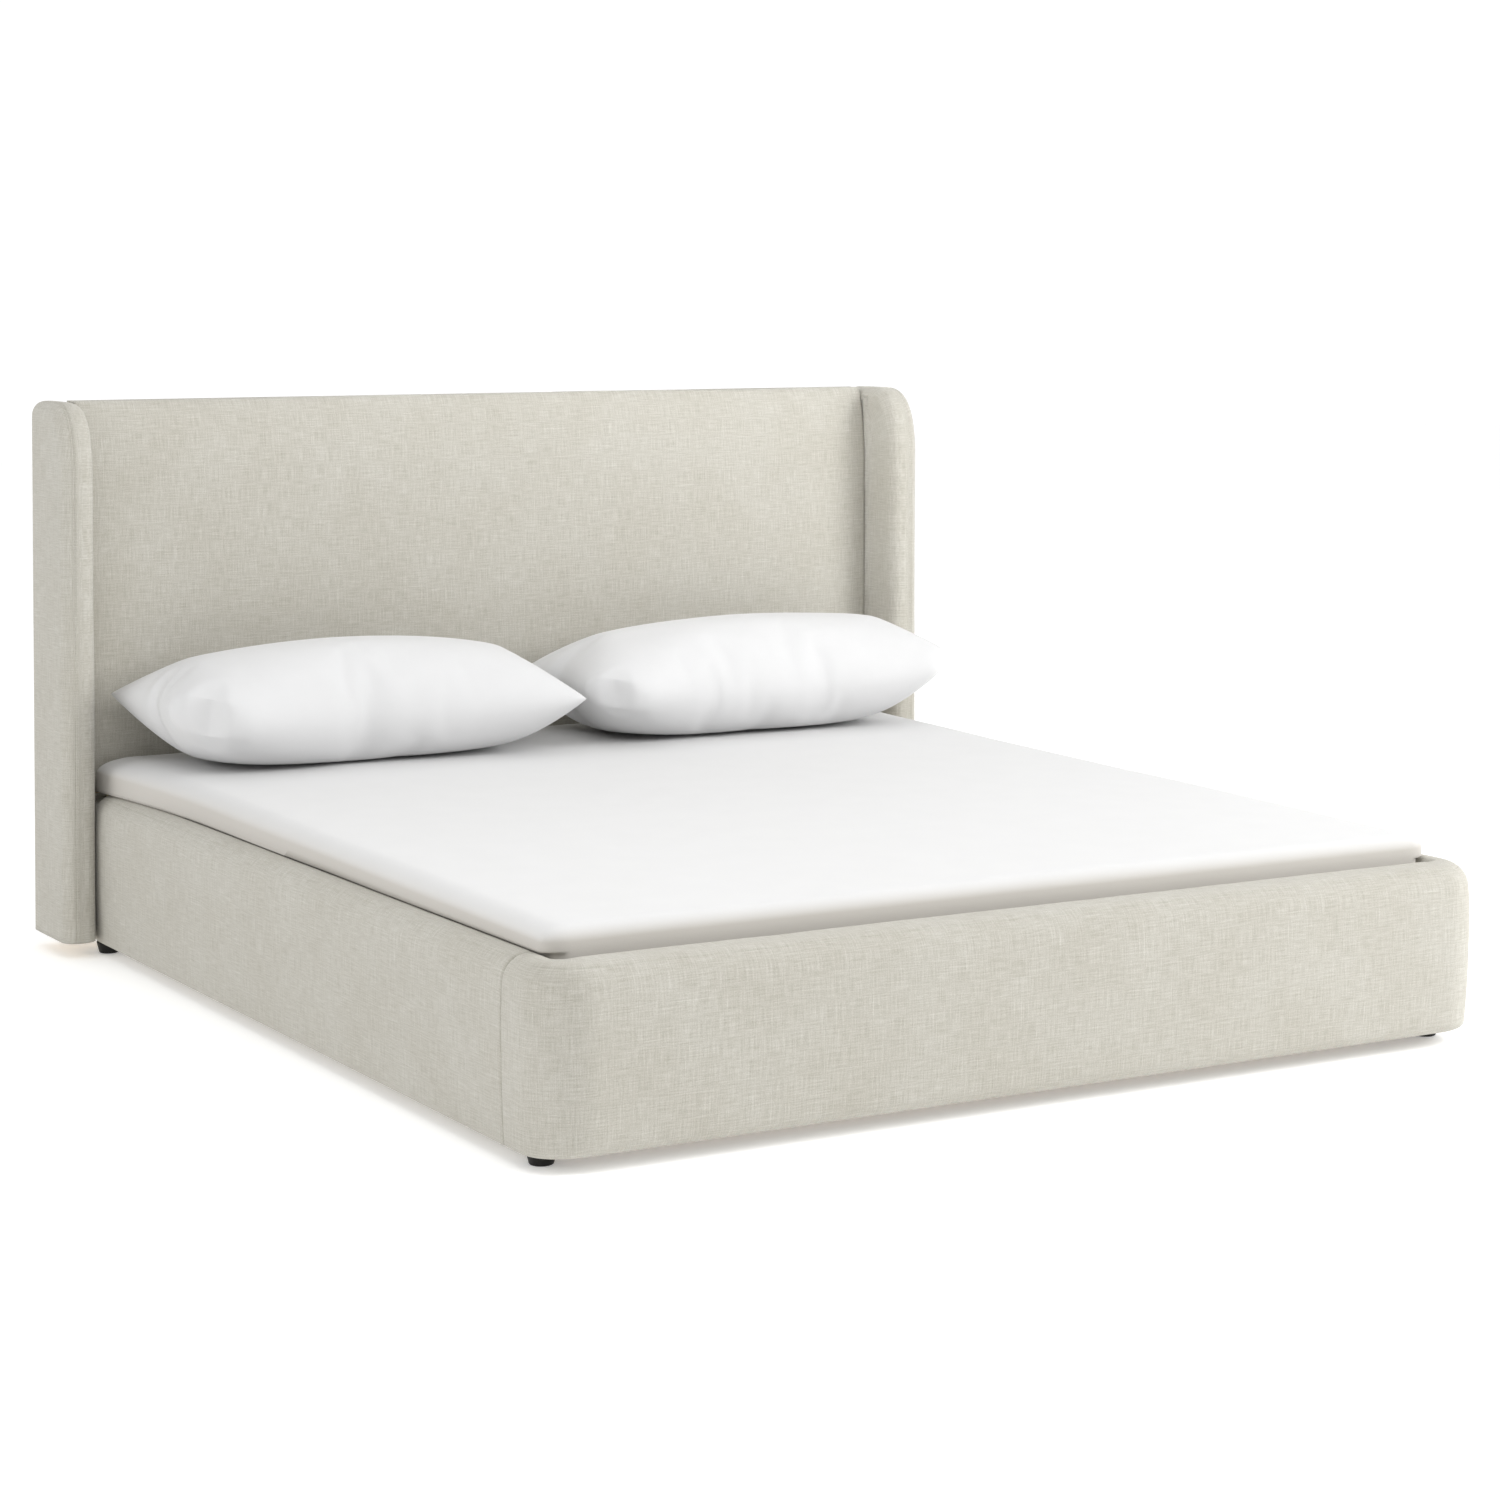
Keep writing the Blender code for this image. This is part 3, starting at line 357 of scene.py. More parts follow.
def pine_material():
    """Planed softwood with its grain along X."""
    light, dark, ring_width = (0.72, 0.56, 0.36), (0.58, 0.41, 0.23), 0.012
    made, tree, shader = new_material("pine", light, 0.62, Specular_IOR_Level=0.35)
    place = own_place(tree)
    grain = stretched_noise(tree, place, (0.35, ring_width * 3, ring_width), 4.0)
    pores = stretched_noise(tree, place, (0.020, 0.0012, 0.0012))
    rings = combine(tree, "FRACT", combine(tree, "MULTIPLY", grain, 7.0), 0.0)
    paint(tree, shader, mean_of(tree, rings, pores, 0.4), (0.1, 0.9), light, dark)
    bump(tree, shader, pores, 0.0003, 0.35)
    return made


def plywood_material():
    """Plywood, whose thin veneers show as bands across its edges."""
    made, tree, shader = new_material("plywood_veneers", (0.62, 0.47, 0.30), 0.68)
    place = own_place(tree)
    veneers = bands(tree, place, 0.003, "X", 0.4)
    grain = stretched_noise(tree, place, (0.004, 0.180, 0.004), 3.0)
    tone = mean_of(tree, veneers, grain, 0.65)
    paint(tree, shader, tone, (0.2, 0.8), (0.66, 0.52, 0.34), (0.48, 0.34, 0.20))
    bump(tree, shader, grain, 0.0004, 0.3)
    return made


def foam_material():
    """Cream open-cell foam."""
    made, tree, shader = new_material("cream_foam", (0.82, 0.77, 0.60), 0.97, Specular_IOR_Level=0.1)
    cells = add(tree, "TexVoronoi", {"Vector": own_place(tree), "Scale": 450.0}).outputs["Distance"]
    paint(tree, shader, cells, (0.0, 0.6), (0.70, 0.64, 0.46), (0.84, 0.79, 0.62))
    bump(tree, shader, cells, 0.0012, 0.6)
    return made


def steel_material():
    """Zinc-plated pressed steel with a faint spangle."""
    made, tree, shader = new_material("zinc_plate", (0.56, 0.57, 0.58), 0.38, Metallic=1.0)
    place = own_place(tree)
    spangle = add(tree, "TexVoronoi", {"Vector": place, "Scale": 140.0}).outputs["Distance"]
    scratches = stretched_noise(tree, place, (0.040, 0.040, 0.0006))
    tone = mean_of(tree, spangle, scratches)
    tree.links.new(ramp(tree, tone, -1.2, 1.6), shader.inputs["Roughness"])
    paint(tree, shader, tone, (0.1, 0.8), (0.60, 0.61, 0.62), (0.46, 0.47, 0.48))
    bump(tree, shader, scratches, 0.0001, 0.3)
    return made


def black_material():
    """Black satin moulded plastic with a fine grain."""
    colour = (0.006, 0.0055, 0.005)
    made, tree, shader = new_material("black_moulding", colour, 0.42, Specular_IOR_Level=0.3)
    grain = even_noise(tree, own_place(tree), 0.0009)
    tree.links.new(ramp(tree, grain, -0.6, 1.9), shader.inputs["Roughness"])
    paint(tree, shader, grain, (0.2, 0.8), (0.004, 0.0036, 0.003), (0.009, 0.008, 0.007))
    bump(tree, shader, grain, 0.0002, 0.4)
    return made


# ---------------------------------------------------------------- grids of points and meshes


def arc(centre, radius, angles):
    """Points of a circle at the given angles in degrees."""
    turned = np.radians(angles)
    return np.stack([centre[0] + radius * np.cos(turned), centre[1] + radius * np.sin(turned)], axis=1)


def straight(start, end, steps, ends=True):
    """Evenly spaced points between two points, with or without the end points themselves."""
    points = np.linspace(start, end, steps + 1)
    return points if ends else points[1:-1]


def with_groove(places, grooves):
    """Sorted places, with more of them close together round each groove."""
    close = [groove + step for groove in grooves for step in GROOVE_STEPS]
    far = [place for place in places if all(abs(place - other) > 0.0075 for other in grooves)]
    inside = [place for place in close if min(places) <= place <= max(places)]
    return np.unique(np.round(far + inside, 4))


def hollow(distance, width, depth):
    """The section of a sewn groove."""
    return -depth * np.exp(-((np.asarray(distance) / width) ** 2))


def inset(line, distance):
    """A line in its own plane, moved sideways by distance, to the left of its direction."""
    along = np.gradient(line, axis=0)
    along /= np.maximum(np.linalg.norm(along, axis=1, keepdims=True), 1e-12)
    return line + distance * np.stack([-along[:, 1], along[:, 0]], axis=1)


def lengths(points, axis):
    """Running length along an axis of a grid of points."""
    steps = np.linalg.norm(np.diff(points, axis=axis), axis=-1)
    start = np.zeros_like(np.take(steps, [0], axis=axis))
    return np.concatenate([start, np.cumsum(steps, axis=axis)], axis=axis)


def normals_of(grid):
    """The unit normals of a grid."""
    along, across = np.gradient(grid, axis=0), np.gradient(grid, axis=1)
    normal = np.cross(along, across)
    return normal / np.maximum(np.linalg.norm(normal, axis=2, keepdims=True), 1e-12)


def unevenness(grid, size, depth, seed):
    """Smooth random height at each point of a grid."""
    offset = Vector((seed * 7.3, seed * 3.1, seed * 5.7))
    flat = grid.reshape(-1, 3)
    values = [noise.noise(Vector(point) / size + offset) for point in flat]
    return depth * np.array(values).reshape(grid.shape[:2])


def relieved(grid, outward, relief):
    """The grid moved along its normals, which are turned to the outward side, by relief."""
    normal = normals_of(grid)
    middle = (grid.shape[0] // 2, grid.shape[1] // 2)
    if normal[middle] @ np.array(outward) < 0:
        normal = -normal
    return grid + normal * relief[..., None]


def link(mesh, name, surface):
    mesh.materials.append(surface)
    made = bpy.data.objects.new(name, mesh)
    bpy.context.scene.collection.objects.link(made)
    return made


def skin(name, grid, coordinates, outward, surface):
    """A smooth quad surface through a grid of points, with cloth coordinates in metres. outward is where the
    middle of the grid faces."""
    rows, columns = grid.shape[:2]
    normal = normals_of(grid)[rows // 2, columns // 2]
    flip = normal @ np.array(outward) < 0
    faces, corners = [], []
    for row in range(rows - 1):
        for column in range(columns - 1):
            square = [(row, column), (row + 1, column), (row + 1, column + 1), (row, column + 1)]
            square = square[::-1] if flip else square
            faces.append([place[0] * columns + place[1] for place in square])
            corners += [coordinates[place] for place in square]
    mesh = bpy.data.meshes.new(name)
    mesh.from_pydata([tuple(point) for point in grid.reshape(-1, 3)], [], faces)
    layer = mesh.uv_layers.new(name=CLOTH_MAP)
    layer.data.foreach_set("uv", np.array(corners, np.float32).ravel())
    tidy(mesh)
    return link(mesh, name, surface)


def tidy(mesh):
    """Merges coincident points and shades smooth."""
    builder = bmesh.new()
    builder.from_mesh(mesh)
    bmesh.ops.remove_doubles(builder, verts=builder.verts, dist=1e-6)
    bmesh.ops.dissolve_degenerate(builder, edges=builder.edges, dist=1e-7)
    builder.to_mesh(mesh)
    builder.free()
    mesh.shade_smooth()


def add_tube(builder, rings):
    """Adds a closed body through rings of points."""
    rows = [[builder.verts.new(point) for point in ring] for ring in rings]
    for row, following in zip(rows, rows[1:]):
        for here in range(len(row)):
            after = (here + 1) % len(row)
            builder.faces.new((row[here], row[after], following[after], following[here]))
    builder.faces.new(rows[0])
    builder.faces.new(reversed(rows[-1]))


def built(name, builder, surface):
    """The smooth object that a mesh builder has made."""
    mesh = bpy.data.meshes.new(name)
    builder.to_mesh(mesh)
    builder.free()
    mesh.shade_smooth()
    return link(mesh, name, surface)


def solid(name, rings, surface):
    """A closed body through rings of points, with its edges kept sharp. Its last two faces are its ends."""
    builder = bmesh.new()
    add_tube(builder, rings)
    bmesh.ops.recalc_face_normals(builder, faces=builder.faces)
    made = built(name, builder, surface)
    made.data.set_sharp_from_angle(angle=math.radians(50))
    return made


def thicken(piece, thickness):
    """Turns a skin into a sheet of that thickness, inwards from its outer face."""
    layer = piece.modifiers.new("thickness", "SOLIDIFY")
    layer.thickness = thickness
    layer.offset = -1.0
    return piece


def stand_for(piece, body, slot, *nodes):
    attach(piece, body)
    if nodes:
        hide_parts(*nodes)
    return piece


def mirrored(grid):
    """The same grid on the other side of the bed."""
    return grid * np.array([-1.0, 1.0, 1.0])


# ---------------------------------------------------------------- padded surround


def face_depth(height, face_top, face_bottom, tuck):
    """How far the crowned outer face lies behind its crest."""
    if height > CREST_HEIGHT:
        return TOP_TUCK * ((height - CREST_HEIGHT) / (face_top - CREST_HEIGHT)) ** 2
    return tuck * ((CREST_HEIGHT - height) / (CREST_HEIGHT - face_bottom)) ** 2


def surround_line(thickness, ease):
    """The cover's section as (depth behind the crest, height): up the inner face, over the top, down the
    crowned face and under. ease is how far its top and its outer face are drawn in, as at a rounded end.
    The foot's lower edge is rounder than a rail's."""
    top_ease, ease = ease
    footness = (thickness - RAIL_THICKNESS) / (FOOT_THICKNESS - RAIL_THICKNESS)
    bottom_radius = RAIL_BOTTOM_RADIUS + footness * (FOOT_BOTTOM_RADIUS - RAIL_BOTTOM_RADIUS)
    tuck = RAIL_BOTTOM_TUCK + footness * (FOOT_BOTTOM_TUCK - RAIL_BOTTOM_TUCK)
    top = SURROUND_TOP - top_ease
    face_top, face_bottom = top - OUTER_TOP_RADIUS, SURROUND_BOTTOM + bottom_radius
    inner_centre = (thickness - INNER_TOP_RADIUS, top - INNER_TOP_RADIUS)
    outer_centre = (ease + OUTER_TOP_RADIUS + TOP_TUCK, face_top)
    bottom_centre = (ease + bottom_radius + tuck, face_bottom)
    seam_steps = np.degrees(np.array(GROOVE_STEPS) / OUTER_TOP_RADIUS) + TOP_SEAM_ANGLE
    outer_angles = [90, 96, 102, 108, 113, *seam_steps, 136, 143, 150, 157, 164, 172, 180]
    heights = np.linspace(face_top, face_bottom, 32)
    face = np.array([(ease + face_depth(height, face_top, face_bottom, tuck), height) for height in heights])
    inner_face = straight((thickness, HEM_HEIGHT), (thickness, top - INNER_TOP_RADIUS), 5)[:-1]
    inner_top = arc(inner_centre, INNER_TOP_RADIUS, np.linspace(0, 90, 9))
    flat_top = straight(inner_top[-1], (outer_centre[0], top), 4, ends=False)
    outer_top = arc(outer_centre, OUTER_TOP_RADIUS, outer_angles)
    bottom = arc(bottom_centre, bottom_radius, np.linspace(180, 270, 10))[1:]
    under = straight(bottom[-1], (thickness - UNDERSIDE_SHORT, SURROUND_BOTTOM), 4)[1:]
    parts = [inner_face, inner_top, flat_top, outer_top, face[1:-1], bottom, under]
    return np.concatenate(parts)


# The top seam's column in surround_line: after its inner face, inner top, flat top and five first angles
TOP_SEAM_COLUMN = 5 + 9 + 3 + 5 + GROOVE_STEPS.index(0.0)
# The column near the middle of the outer face, from which the cloth is laid out
CREST_COLUMN_AFTER_MIDDLE = 4


def rolled_end(distance, length, depth):
    """How far a stuffed end draws in at a distance from it, as a quarter of an ellipse."""
    if distance >= length:
        return 0.0
    share = 1 - max(distance, 0.0) / length
    return depth * (1 - math.sqrt(1 - share * share))


def surround_grid(stations):
    """The skin's points along stations of (point in plan, inward direction, thickness, ease)."""
    rows = []
    for point, inward, thickness, ease in stations:
        line = surround_line(thickness, ease)
        plan = np.array(point)[None, :] + np.outer(line[:, 0], inward)
        rows.append(np.column_stack([plan, line[:, 1]]))
    return np.array(rows)


def cloth_coordinates(grid, along_column):
    """Cloth coordinates of a grid: along one column, and along each row."""
    along = lengths(grid, 0)[:, along_column]
    across = lengths(grid, 1)
    across = across - across[:, [along_column]]
    return np.stack([np.broadcast_to(along[:, None], across.shape), -across], axis=2)


def surround_relief(grid, seed):
    """Grooves and softness of the surround's skin."""
    across = lengths(grid, 1)
    from_seam = across - across[:, [TOP_SEAM_COLUMN]]
    relief = hollow(from_seam, 0.0018, 0.0011)
    fade = np.clip((grid[..., 2] - SURROUND_BOTTOM) / 0.05, 0.0, 1.0)
    relief += fade * unevenness(grid, 0.30, 0.0016, seed)
    relief += fade * unevenness(grid, 0.07, 0.0005, seed + 1)
    return relief


def foam_rings(stations):
    """Rings of the foam under a cover, over the top of its board and down the board's outer face."""
    board_top = RAIL_BOARD_HIGH.z + FIT_GAP
    board_depth = RAIL_BOARD_HIGH.x - RAIL_BOARD_LOW.x
    rings = []
    for point, inward, thickness, ease in stations:
        line = inset(surround_line(thickness, ease), PADDING_INSET)
        outer = thickness - BOARD_INSET - board_depth - FIT_GAP
        bottom = SURROUND_BOTTOM + PADDING_INSET
        corners = [(thickness - PADDING_INSET, board_top), *line[5:-1], (outer, bottom), (outer, board_top)]
        section = np.array(corners)
        plan = np.array(point)[None, :] + np.outer(section[:, 0], inward)
        rings.append(np.column_stack([plan, section[:, 1]]))
    return rings


def seam_distances(length):
    """Distances from a seam, close together where the stuffing rolls in."""
    near = SEAM_ROLL_LENGTH * (1 - np.cos(np.radians(np.linspace(0, 90, 8))))
    steps = int(math.ceil((length - SEAM_ROLL_LENGTH) / 0.012))
    return [*near, *np.linspace(SEAM_ROLL_LENGTH, length, steps + 1)[1:]]


def foot_stations():
    """Round the footboard, from the right-hand seam to the left-hand one."""
    right = []
    for distance in seam_distances(FOOT_HIGH.y - FOOT_LOW.y - CORNER_RADIUS):
        ease = rolled_end(distance, SEAM_ROLL_LENGTH, SEAM_ROLL_DEPTH)
        right.append(((RAIL_HALF_WIDTH, FOOT_HIGH.y - distance), (-1.0, 0.0), RAIL_THICKNESS, (ease, ease)))
    centre = (RAIL_HALF_WIDTH - CORNER_RADIUS, FOOT_LOW.y + CORNER_RADIUS)
    for share in np.linspace(0, 1, 33)[1:]:
        angle = math.radians(-90 * share)
        outward = (math.cos(angle), math.sin(angle))
        eased = share * share * (3 - 2 * share)
        thickness = RAIL_THICKNESS + (FOOT_THICKNESS - RAIL_THICKNESS) * eased
        point = (centre[0] + CORNER_RADIUS * outward[0], centre[1] + CORNER_RADIUS * outward[1])
        right.append((point, (-outward[0], -outward[1]), thickness, (0.0, 0.0)))
    front = []
    for x in np.linspace(centre[0], -centre[0], 141)[1:-1]:
        front.append(((x, FOOT_LOW.y), (0.0, 1.0), FOOT_THICKNESS, (0.0, 0.0)))
    left = [((-point[0], point[1]), (-inward[0], inward[1]), *rest) for point, inward, *rest in right]
    return right + front + left[::-1]


def rail_stations():
    """Along the right rail, from its seam to its rounded end beside the wing."""
    length = RAIL_HIGH.y - RAIL_LOW.y - LOWER_CLOTH_ROOM
    nose_end = length - NOSE_START
    nose = nose_end - NOSE_LENGTH * (1 - np.cos(np.radians(np.linspace(90, 0, 14))))
    flat = np.linspace(nose_end + 0.0005, length, 6)
    places = [*seam_distances(nose_end - NOSE_LENGTH)[:-1], *nose, *flat]
    stations = []
    for distance in places:
        from_nose = nose_end - distance
        seam = rolled_end(distance, SEAM_ROLL_LENGTH, SEAM_ROLL_DEPTH)
        nose = rolled_end(from_nose, NOSE_LENGTH, NOSE_DEPTH)
        ease = (max(seam, nose), max(seam, nose * NOSE_SIDE_SHARE))
        point = (RAIL_HALF_WIDTH, RAIL_LOW.y + distance)
        stations.append((point, (-1.0, 0.0), RAIL_THICKNESS, ease))
    return stations


def make_surround(fabric, foam):
    stations = foot_stations()
    grid = surround_grid(stations)
    crest = grid.shape[1] // 2 + CREST_COLUMN_AFTER_MIDDLE
    shaped = relieved(grid, (0, -1, 0), surround_relief(grid, 1))
    cover = skin("footboard_fabric", shaped, cloth_coordinates(grid, crest), (0, -1, 0), fabric)
    finish_cover(cover, "footboard_cover")
    padding = solid("footboard_padding", foam_rings(stations), foam)
    finish_padding(padding, "footboard_foam")
    stations = rail_stations()
    grid = surround_grid(stations)
    for side, sign in SIDES.items():
        shaped = relieved(grid, (1, 0, 0), surround_relief(grid * sign, 3))
        coordinates = cloth_coordinates(grid, crest) * np.array([sign, 1.0]) + np.array([4.0 * sign, 0.0])
        shaped = shaped if sign > 0 else mirrored(shaped)
        cover = skin(f"side_rail_fabric_{side}", shaped, coordinates, (sign, 0, 0), fabric)
        finish_cover(cover, f"side_rail_cover_{side}")
        rings = [ring if sign > 0 else mirrored(ring) for ring in foam_rings(stations)]
        finish_padding(solid(f"side_rail_padding_{side}", rings, foam), f"side_rail_foam_{side}")


def finish_cover(cover, node, body="bed_frame", slot="oatmeal_linen"):
    """A cover is a sheet, stretched over its padding."""
    thicken(cover, COVER_THICKNESS)
    stand_for(cover, body, slot, node)


def finish_padding(padding, node, body="bed_frame"):
    """Puts a piece of foam in the place of its CAD solid."""
    stand_for(padding, body, "upholstery_foam", node)


# ---------------------------------------------------------------- headboard panel


def panel_line(side_roll, crown):
    """The panel's outer line as (Y, height): up its front, back over the rolled top and along the top."""
    front = PANEL_LOW.y + side_roll
    roll_depth = PANEL_ROLL_DEPTH - side_roll
    roll_start = HEAD_TOP - PANEL_ROLL_HEIGHT
    low = PANEL_LOW.z
    heights = np.linspace(low, roll_start, 52)
    rise = (heights - low) / (roll_start - low)
    swell = crown * np.sin(np.pi * np.clip(rise, 0, 1)) ** 0.8
    face = np.column_stack([front - swell, heights])
    turned = np.radians(np.linspace(0, 90, 25))[1:]
    rolled = np.column_stack(
        [front + roll_depth * (1 - np.cos(turned)), roll_start + PANEL_ROLL_HEIGHT * np.sin(turned)]
    )
    top = straight(rolled[-1], (PANEL_HIGH.y, HEAD_TOP), 5)[1:]
    return np.concatenate([face, rolled, top])


def panel_places():
    """Places across the panel, close together near both wings."""
    half = PANEL_HIGH.x - COVER_THICKNESS
    near = [0, 0.001, 0.0025, 0.005, 0.008, 0.012, 0.017, 0.023, 0.031, 0.041, 0.054, 0.070, 0.090]
    middle = np.linspace(half - 0.105, 0.105 - half, 125)
    right = [half - step for step in near]
    return np.array(right + list(middle) + [-place for place in reversed(right)])


def panel_share(place):
    """How far the front rolls back at a place across it, from 0 to 1 beside a wing."""
    distance = PANEL_HIGH.x - abs(place)
    return max(0.0, 1 - distance / PANEL_SIDE_REACH) ** 4.2


def make_panel(fabric, foam):
    rows, rings = [], []
    for place in panel_places():
        share = panel_share(place)
        crown = PANEL_CROWN * (1 - (place / PANEL_HIGH.x) ** 4)
        line = panel_line(PANEL_SIDE_ROLL * share, crown)
        rows.append([(place, y, z) for y, z in line])
        inner = inset(line, -PADDING_INSET)
        over = PANEL_BOARD_HIGH.z + FIT_GAP
        front = PANEL_BOARD_LOW.y - FIT_GAP
        section = [*inner, (PANEL_HIGH.y, over), (front, over), (front, line[0][1])]
        rings.append([(place, y, z) for y, z in section])
    grid = np.array(rows)
    fade = np.clip((PANEL_HIGH.x - np.abs(grid[..., 0])) / 0.08, 0.2, 1.0)
    relief = fade * (unevenness(grid, 0.40, 0.0022, 5) + unevenness(grid, 0.09, 0.0005, 6))
    relief += hollow(PANEL_HIGH.x - np.abs(grid[..., 0]), 0.005, 0.003)
    shaped = relieved(grid, (0, -1, 0), relief)
    coordinates = cloth_coordinates(grid, 10) * np.array([1.0, -1.0]) + np.array([10.0, 0.0])
    cover = skin("headboard_fabric", shaped, coordinates, (0, -1, 0), fabric)
    finish_cover(cover, "headboard_cover")
    padding = solid("headboard_padding", rings, foam)
    padding.data.materials.append(fabric)
    for end in padding.data.polygons[-2:]:
        end.material_index = 1
    finish_padding(padding, "headboard_foam")


def make_lower_cloth(fabric):
    """The cloth that runs on below the panel over the base rail, cut out round the rails' fittings."""
    low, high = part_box("headboard_base_rail")
    front = low.y - FIT_GAP
    xs = with_edges(low.x, high.x, 0.01, 160)
    zs = np.linspace(low.z, high.z, 24)
    columns = len(zs)
    points = [(x, front - LOWER_CLOTH_THICKNESS, z) for x in xs for z in zs]
    faces = []
    for row in range(len(xs) - 1):
        for column in range(columns - 1):
            outside = min(abs(xs[row]), abs(xs[row + 1])) > FITTINGS_HALF_WIDTH
            if outside or zs[column] > FITTINGS_TOP:
                corner = row * columns + column
                faces.append((corner, corner + columns, corner + columns + 1, corner + 1))
    mesh = bpy.data.meshes.new("headboard_lower_fabric")
    mesh.from_pydata(points, [], faces)
    builder = bmesh.new()
    builder.from_mesh(mesh)
    bmesh.ops.delete(builder, geom=[vert for vert in builder.verts if not vert.link_faces], context="VERTS")
    layer = builder.loops.layers.uv.new(CLOTH_MAP)
    for face in builder.faces:
        for loop in face.loops:
            loop[layer].uv = (loop.vert.co.x + 10.0, loop.vert.co.z - PANEL_LOW.z)
    builder.to_mesh(mesh)
    builder.free()
    mesh.shade_smooth()
    cloth = link(mesh, "headboard_lower_fabric", fabric)
    thicken(cloth, LOWER_CLOTH_THICKNESS)
    stand_for(cloth, "bed_frame", "oatmeal_linen")


def make_back_panel(fabric):
    """The fabric-covered board on the back, with its edges rounded and its cloth drawn flat."""
    half, edge = BACK_HIGH.x, 0.002
    xs = with_edges(-half, half, edge, 100)
    zs = with_edges(BACK_LOW.z, BACK_HIGH.z, edge, 70)
    grid = np.array([[(x, BACK_HIGH.y, z) for z in zs] for x in xs])
    near = np.minimum(
        np.minimum(grid[..., 0] + half, half - grid[..., 0]),
        np.minimum(grid[..., 2] - BACK_LOW.z, BACK_HIGH.z - grid[..., 2]),
    )
    fall = np.clip(1 - near / edge, 0, 1)
    grid[..., 1] -= edge * (1 - np.sqrt(1 - fall**2))
    grid[..., 1] += np.clip(near / 0.05, 0, 1) * unevenness(grid, 0.35, 0.0008, 9)
    board = solid_under(grid, BACK_LOW.y, "headboard_back_board", (0, 1, 0), fabric)
    stand_for(board, "bed_frame", "oatmeal_linen", "headboard_back_panel")


def with_edges(low, high, edge, count):
    """Places from low to high, close together at both ends."""
    near = edge * (1 - np.cos(np.radians(np.linspace(0, 90, 7))))
    middle = np.linspace(low + edge, high - edge, count)[1:-1]
    return np.concatenate([low + near, middle, (high - near)[::-1]])


def solid_under(grid, back_y, name, outward, surface):
    """A closed board between a grid and a flat face at back_y, with cloth coordinates from X and Z."""
    made = skin(name, grid, grid[..., [0, 2]] + np.array([20.0, 0.0]), outward, surface)
    builder = bmesh.new()
    builder.from_mesh(made.data)
    rim = [edge for edge in builder.edges if edge.is_boundary]
    drawn = bmesh.ops.extrude_edge_only(builder, edges=rim)
    fresh = [part for part in drawn["geom"] if isinstance(part, bmesh.types.BMVert)]
    for vertex in fresh:
        vertex.co.y = back_y
    edges = [part for part in drawn["geom"] if isinstance(part, bmesh.types.BMEdge)]
    bmesh.ops.contextual_create(builder, geom=[edge for edge in edges if edge.is_boundary])
    bmesh.ops.recalc_face_normals(builder, faces=builder.faces)
    builder.to_mesh(made.data)
    builder.free()
    made.data.shade_smooth()
    made.data.set_sharp_from_angle(angle=math.radians(50))
    return made


# ---------------------------------------------------------------- wings


def wing_path():
    """The wing's front and top edge as rows of (point, outward normal, inner end, outer end, running
    length), all in Y and Z: up the front, round the elliptical corner and back along the top."""
    front_y, back_y = WING_LOW.y, WING_HIGH.y
    corner_z, corner_y = WING_CORNER_LOW, front_y + WING_CORNER_DEPTH
    upright = np.linspace(WING_LOW.z, corner_z, 82)
    points = [(front_y, z) for z in upright]
    turned = np.radians(np.linspace(0, 90, 33))[1:]
    points += [
        (
            corner_y - WING_CORNER_DEPTH * max(math.cos(a), 0.0) ** WING_CORNER_FULLNESS,
            corner_z + WING_CORNER_HEIGHT * math.sin(a) ** WING_CORNER_FULLNESS,
        )
        for a in turned
    ]
    points += [(y, HEAD_TOP) for y in np.linspace(corner_y, back_y - WING_BACK_RADIUS, 13)[1:]]
    points = np.array(points)
    run = lengths(points, 0)
    tangent = np.gradient(points, axis=0)
    tangent /= np.linalg.norm(tangent, axis=1, keepdims=True)
    outward = np.stack([-tangent[:, 1], tangent[:, 0]], axis=1)
    straight_run = run[len(upright) - 1]
    crease_run = np.interp(WING_CREASE_Y, points[len(upright):, 0], run[len(upright):])
    rows = []
    for index, point in enumerate(points):
        share = max(0.0, (run[index] - straight_run) / (run[-1] - straight_run))
        end_z = point[1] if share == 0 else corner_z + (WING_SIDE_TOP - corner_z) * share
        outer_end = np.array([back_y, end_z])
        turn = max(0.0, min((run[index] - straight_run) / (crease_run - straight_run), 1.0))
        inner_z = point[1] if share == 0 else corner_z + (WING_CORE_TOP - corner_z) * turn
        inner_end = np.array([max(point[0], WING_CREASE_Y), inner_z])
        rows.append((point, outward[index], inner_end, outer_end, run[index]))
    return rows


def edge_section(depth):
    """How far the rounded edge reaches from the middle of the wing at a depth inside the outline."""
    inside = WING_EDGE_RADIUS - min(depth, WING_EDGE_RADIUS)
    return WING_HALF - WING_EDGE_RADIUS + math.sqrt(WING_EDGE_RADIUS**2 - inside**2)


def inner_side(point, outward, inner_end):
    """The row's places on the inner side, from the crease to the edge, each with its reach and run."""
    made = []
    for share in INNER_SHARES:
        place = point + (inner_end - point) * share
        depth = float((point - place) @ outward)
        made.append((edge_section(depth), place, np.linalg.norm(place - point)))
    return made


def outer_side(point, outward, outer_end, arcs):
    """The row's places on the outer side: round the edge, then straight on to the back."""
    made = []
    for arc_length in arcs:
        angle = arc_length / WING_EDGE_RADIUS
        reach = WING_HALF - WING_EDGE_RADIUS * (1 - math.sin(angle))
        made.append((reach, point - outward * WING_EDGE_RADIUS * (1 - math.cos(angle))))
    start = point - outward * WING_EDGE_RADIUS
    made += [(WING_HALF, start + (outer_end - start) * share) for share in OUTER_SHARES]
    return made


